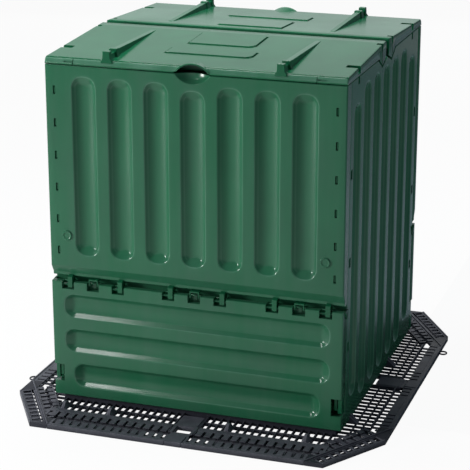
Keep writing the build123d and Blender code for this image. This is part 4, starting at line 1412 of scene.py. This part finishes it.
    def joiner(self, start: Pair, end: Pair, block: float, run: float) -> Patch:
        """Joiner in the middle of a side: a block in the rail, a framed window and a plate at the kerb.

        Args:
            start: Its middle on the outer edge.
            end: Another point of the outer edge; inwards is to the left on the way there.
            block: How deep the block is.
            run: How far it reaches inwards.

        Returns:
            The patch in the part's frame.
        """
        block_half, block_top = self.joiner_block
        inner, outer, bar_top = self.joiner_bars
        near, far, cross_top = self.joiner_cross
        step, step_top = self.joiner_step
        half, plate = self.joiner_half - self.joiner_gap, run - self.joiner_plate[0]
        low = [(-block_half, 0.0, 0.0), (-outer, block, 0.0), (inner, block, 0.0), (-outer, block + near, 0.0),
               (-half, plate, 0.0), (-half + step, plate + step, 0.0)]
        high = [(block_half, block, block_top), (-inner, plate, bar_top), (outer, plate, bar_top),
                (outer, block + far, cross_top), (half, run, self.joiner_plate[1]), (half - step, run, step_top)]
        return self.along_edge(start, end, low, high)

    def loop(self) -> Patch:
        """Hanging loop: a small oval section carried round a circle."""
        around, sides = self.loop_sides
        turn, section = full_turn(around)[:, None], full_turn(sides)[None, :]
        width, height = self.loop_section
        out, place, up = self.loop_centre
        radius = self.loop_radius + width * np.cos(section)
        rise = np.broadcast_to(up + height * np.sin(section), self.loop_sides)
        return loft_patch(np.stack([self.half_width + out - radius * np.cos(turn), place + radius * np.sin(turn),
                                    rise], -1), True)

    def edge(self) -> list[Patch]:
        """Slanting edge piece at the front right corner: a slotted rail between two end plates."""
        first, last = np.array([self.corner_x, -self.half_depth]), np.array([self.half_width, self.corner_y])
        start = (self.cut_x + self.wing_gap, -self.half_depth)
        end = (self.half_width, self.cut_y - self.wing_gap)
        inset = directions(first, last)[1] * self.wing_inset
        return [self.rail(tuple(first), tuple(last), self.edge_rows, self.every_place),
                self.plate([first, first + inset, start]), self.plate([last, end, last + inset])]

    def build(self) -> None:
        """Makes the quarter plates, edge pieces and joiners, in black on the bin.

        Front right and front left are worked out, and the rear ones are the same pieces turned half round.
        """
        right, left = self.quarter(False, *self.right_stops), mirrored(self.quarter(True, *self.left_stops))
        edge = self.edge()
        front = [self.joiner((0.0, -self.half_depth), (1.0, -self.half_depth), *self.front_joiner)]
        side = [self.joiner((self.half_width, 0.0), (self.half_width, 1.0), *self.side_joiner)]
        plates = {"front_right": right, "front_left": left, "rear_left": turned(right),
                  "rear_right": turned(left)}
        edges = {"front_right": edge, "front_left": mirrored(edge), "rear_left": turned(edge),
                 "rear_right": turned(mirrored(edge))}
        joiners = {"front": front, "right": side, "rear": turned(front), "left": turned(side)}
        for shown, solid, bevel, pieces in (("mesh_plate", "grid", self.bevel, plates),
                                            ("edge_rail", "grid_edge", self.bevel, edges),
                                            ("joiner", "grid_joiner", self.joiner_bevel, joiners)):
            for word, patches in pieces.items():
                BLACK_PIECE(f"{shown}_{word}", patches, stands_for=[f"{solid}_{word}"], bevel=bevel)


# Studio


@dataclass(frozen=True)
class Lamp:
    """Square area lamp: its place and size in metres and its power."""

    name: str
    place: Triple
    size: float
    watts: float


@dataclass
class Studio:
    """Plain floor, pale surroundings, soft lamps and the camera at the photograph's angle."""

    camera_place: Triple = (1.4543, -4.4006, 1.8972)
    yaw_deg: float = 18.538
    pitch_deg: float = 17.96
    focal_pixels: float = 1750.0
    clip_end: float = 100.0
    floor_half: float = 12.0
    floor_height: float = -0.0006
    floor_tone: str = "f0f0f0"
    card_low: Pair = (0.42, -0.25)
    card_high: Pair = (2.6, 4.2)
    card_height: float = -0.0003
    card_tone: str = "a0b0ba"
    white: str = "ffffff"
    white_share: float = 0.95
    sky_tone: str = "ccdff2"
    sky_light: float = 0.17
    lamp_target: Triple = (0.0, 0.0, 0.5)
    lamps: tuple[Lamp, ...] = (
        Lamp("key_lamp", (-3.4, -2.3, 1.3), 0.8, 97.0),
        Lamp("upper_lamp", (-1.58, -1.68, 2.9), 0.3, 13.0),
        Lamp("top_lamp", (-0.45, 0.2, 2.7), 0.9, 48.0),
        Lamp("right_lamp", (2.2, 0.4, 2.6), 1.2, 5.0),
        Lamp("front_lamp", (-0.6, -5.0, 0.9), 3.0, 18.0),
        Lamp("back_lamp", (-1.2, 4.6, 1.9), 3.6, 23.0),
    )

    def stand(self, name: str, data: bpy.types.ID, place: Triple, ahead: Vector) -> bpy.types.Object:
        """Stands a camera or a lamp at a place.

        Args:
            name: Name of the object.
            data: The camera or lamp.
            place: Where it stands, in metres.
            ahead: The way it looks.

        Returns:
            The object.
        """
        made = bpy.data.objects.new(name, data)
        bpy.context.scene.collection.objects.link(made)
        made.location = place
        made.rotation_mode = "QUATERNION"
        made.rotation_quaternion = ahead.to_track_quat("-Z", "Y")
        return made

    def camera(self) -> None:
        """Sets the camera from the fitted place, turn and focal length."""
        data = bpy.data.cameras.new("camera")
        data.sensor_width = SENSOR_MM
        data.lens = self.focal_pixels / PHOTO_PIXELS * SENSOR_MM
        data.clip_end = self.clip_end
        yaw, pitch = math.radians(self.yaw_deg), math.radians(self.pitch_deg)
        ahead = Vector((-math.sin(yaw) * math.cos(pitch), math.cos(yaw) * math.cos(pitch), -math.sin(pitch)))
        bpy.context.scene.camera = self.stand("camera", data, self.camera_place, ahead)

    def light(self, lamp: Lamp) -> None:
        """Adds a lamp that faces the middle of the bin."""
        data = bpy.data.lights.new(lamp.name, "AREA")
        data.size = lamp.size
        data.energy = lamp.watts
        self.stand(lamp.name, data, lamp.place, Vector(self.lamp_target) - Vector(lamp.place))

    def sheet(self, name: str, low: Pair, high: Pair, height: float, tone: str) -> None:
        """Adds a level sheet: nearly white to the camera, with the shadows of the object kept on it.

        Args:
            name: Name of the sheet.
            low: Its lowest corner.
            high: Its highest corner.
            height: Its height over the ground.
            tone: How pale it looks in the object's gloss, as an sRGB hex colour.
        """
        corners = [(low[0], low[1], height), (high[0], low[1], height), (high[0], high[1], height),
                   (low[0], high[1], height)]
        mesh = bpy.data.meshes.new(name)
        mesh.from_pydata(corners, [], [(0, 1, 2, 3)])
        made = bpy.data.objects.new(name, mesh)
        bpy.context.scene.collection.objects.link(made)
        paint = bpy.data.materials.new(f"{name}_paint")
        tree = fresh_tree(paint)
        rays = add_node(tree, "ShaderNodeLightPath")
        share = add_node(tree, "ShaderNodeMath", {"operation": "MULTIPLY", 1: self.white_share},
                         {0: rays.outputs["Is Camera Ray"]})
        matt = add_node(tree, "ShaderNodeBsdfDiffuse", {"Color": srgb(tone)})
        glow = add_node(tree, "ShaderNodeEmission", {"Color": srgb(self.white), "Strength": 1.0})
        mix = add_node(tree, "ShaderNodeMixShader", None,
                       {0: share.outputs[0], 1: matt.outputs[0], 2: glow.outputs[0]})
        add_node(tree, "ShaderNodeOutputMaterial", None, {"Surface": mix.outputs[0]})
        mesh.materials.append(paint)

    def surroundings(self) -> None:
        """Sets surroundings that look nearly white and light the object softly."""
        world = bpy.data.worlds.new("white_surroundings")
        bpy.context.scene.world = world
        tree = fresh_tree(world)
        rays = add_node(tree, "ShaderNodeLightPath")
        seen = add_node(tree, "ShaderNodeMath", {"operation": "MAXIMUM"},
                        {0: rays.outputs["Is Camera Ray"], 1: rays.outputs["Is Transmission Ray"]})
        strength = add_node(tree, "ShaderNodeMapRange", {"To Min": self.sky_light, "To Max": 1.0},
                            {"Value": seen.outputs[0]})
        sky = add_node(tree, "ShaderNodeBackground", {"Color": srgb(self.sky_tone)},
                       {"Strength": strength.outputs[0]})
        add_node(tree, "ShaderNodeOutputWorld", None, {"Surface": sky.outputs[0]})

    def build(self) -> None:
        """Sets up the whole studio."""
        self.camera()
        half = self.floor_half
        self.sheet("floor", (-half, -half), (half, half), self.floor_height, self.floor_tone)
        # A grey card beside the bin keeps its right wall dark
        self.sheet("grey_card", self.card_low, self.card_high, self.card_height, self.card_tone)
        self.surroundings()
        for lamp in self.lamps:
            self.light(lamp)
        bpy.context.scene.view_settings.view_transform = "Standard"


def dress_ridge_beam() -> None:
    """Gives the ridge beam, which is shown as its CAD solid, the walls' plastic."""
    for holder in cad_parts["ridge_beam"].material_slots:
        holder.material = GREEN.material()


def main() -> None:
    """Builds the studio and every sub-assembly."""
    logging.basicConfig(level=logging.INFO, format="%(name)s %(message)s")
    Studio().build()
    for side in (Side.FRONT, Side.REAR):
        EndWall.on(side).build()
    for side in (Side.RIGHT, Side.LEFT):
        SideWall.on(side).build()
    for side in (Side.FRONT, Side.REAR):
        Flap.on(side).build()
        Lid(side).build()
    GroundGrid().build()
    dress_ridge_beam()
    bpy.context.view_layer.update()


if __name__ == "__main__":
    main()
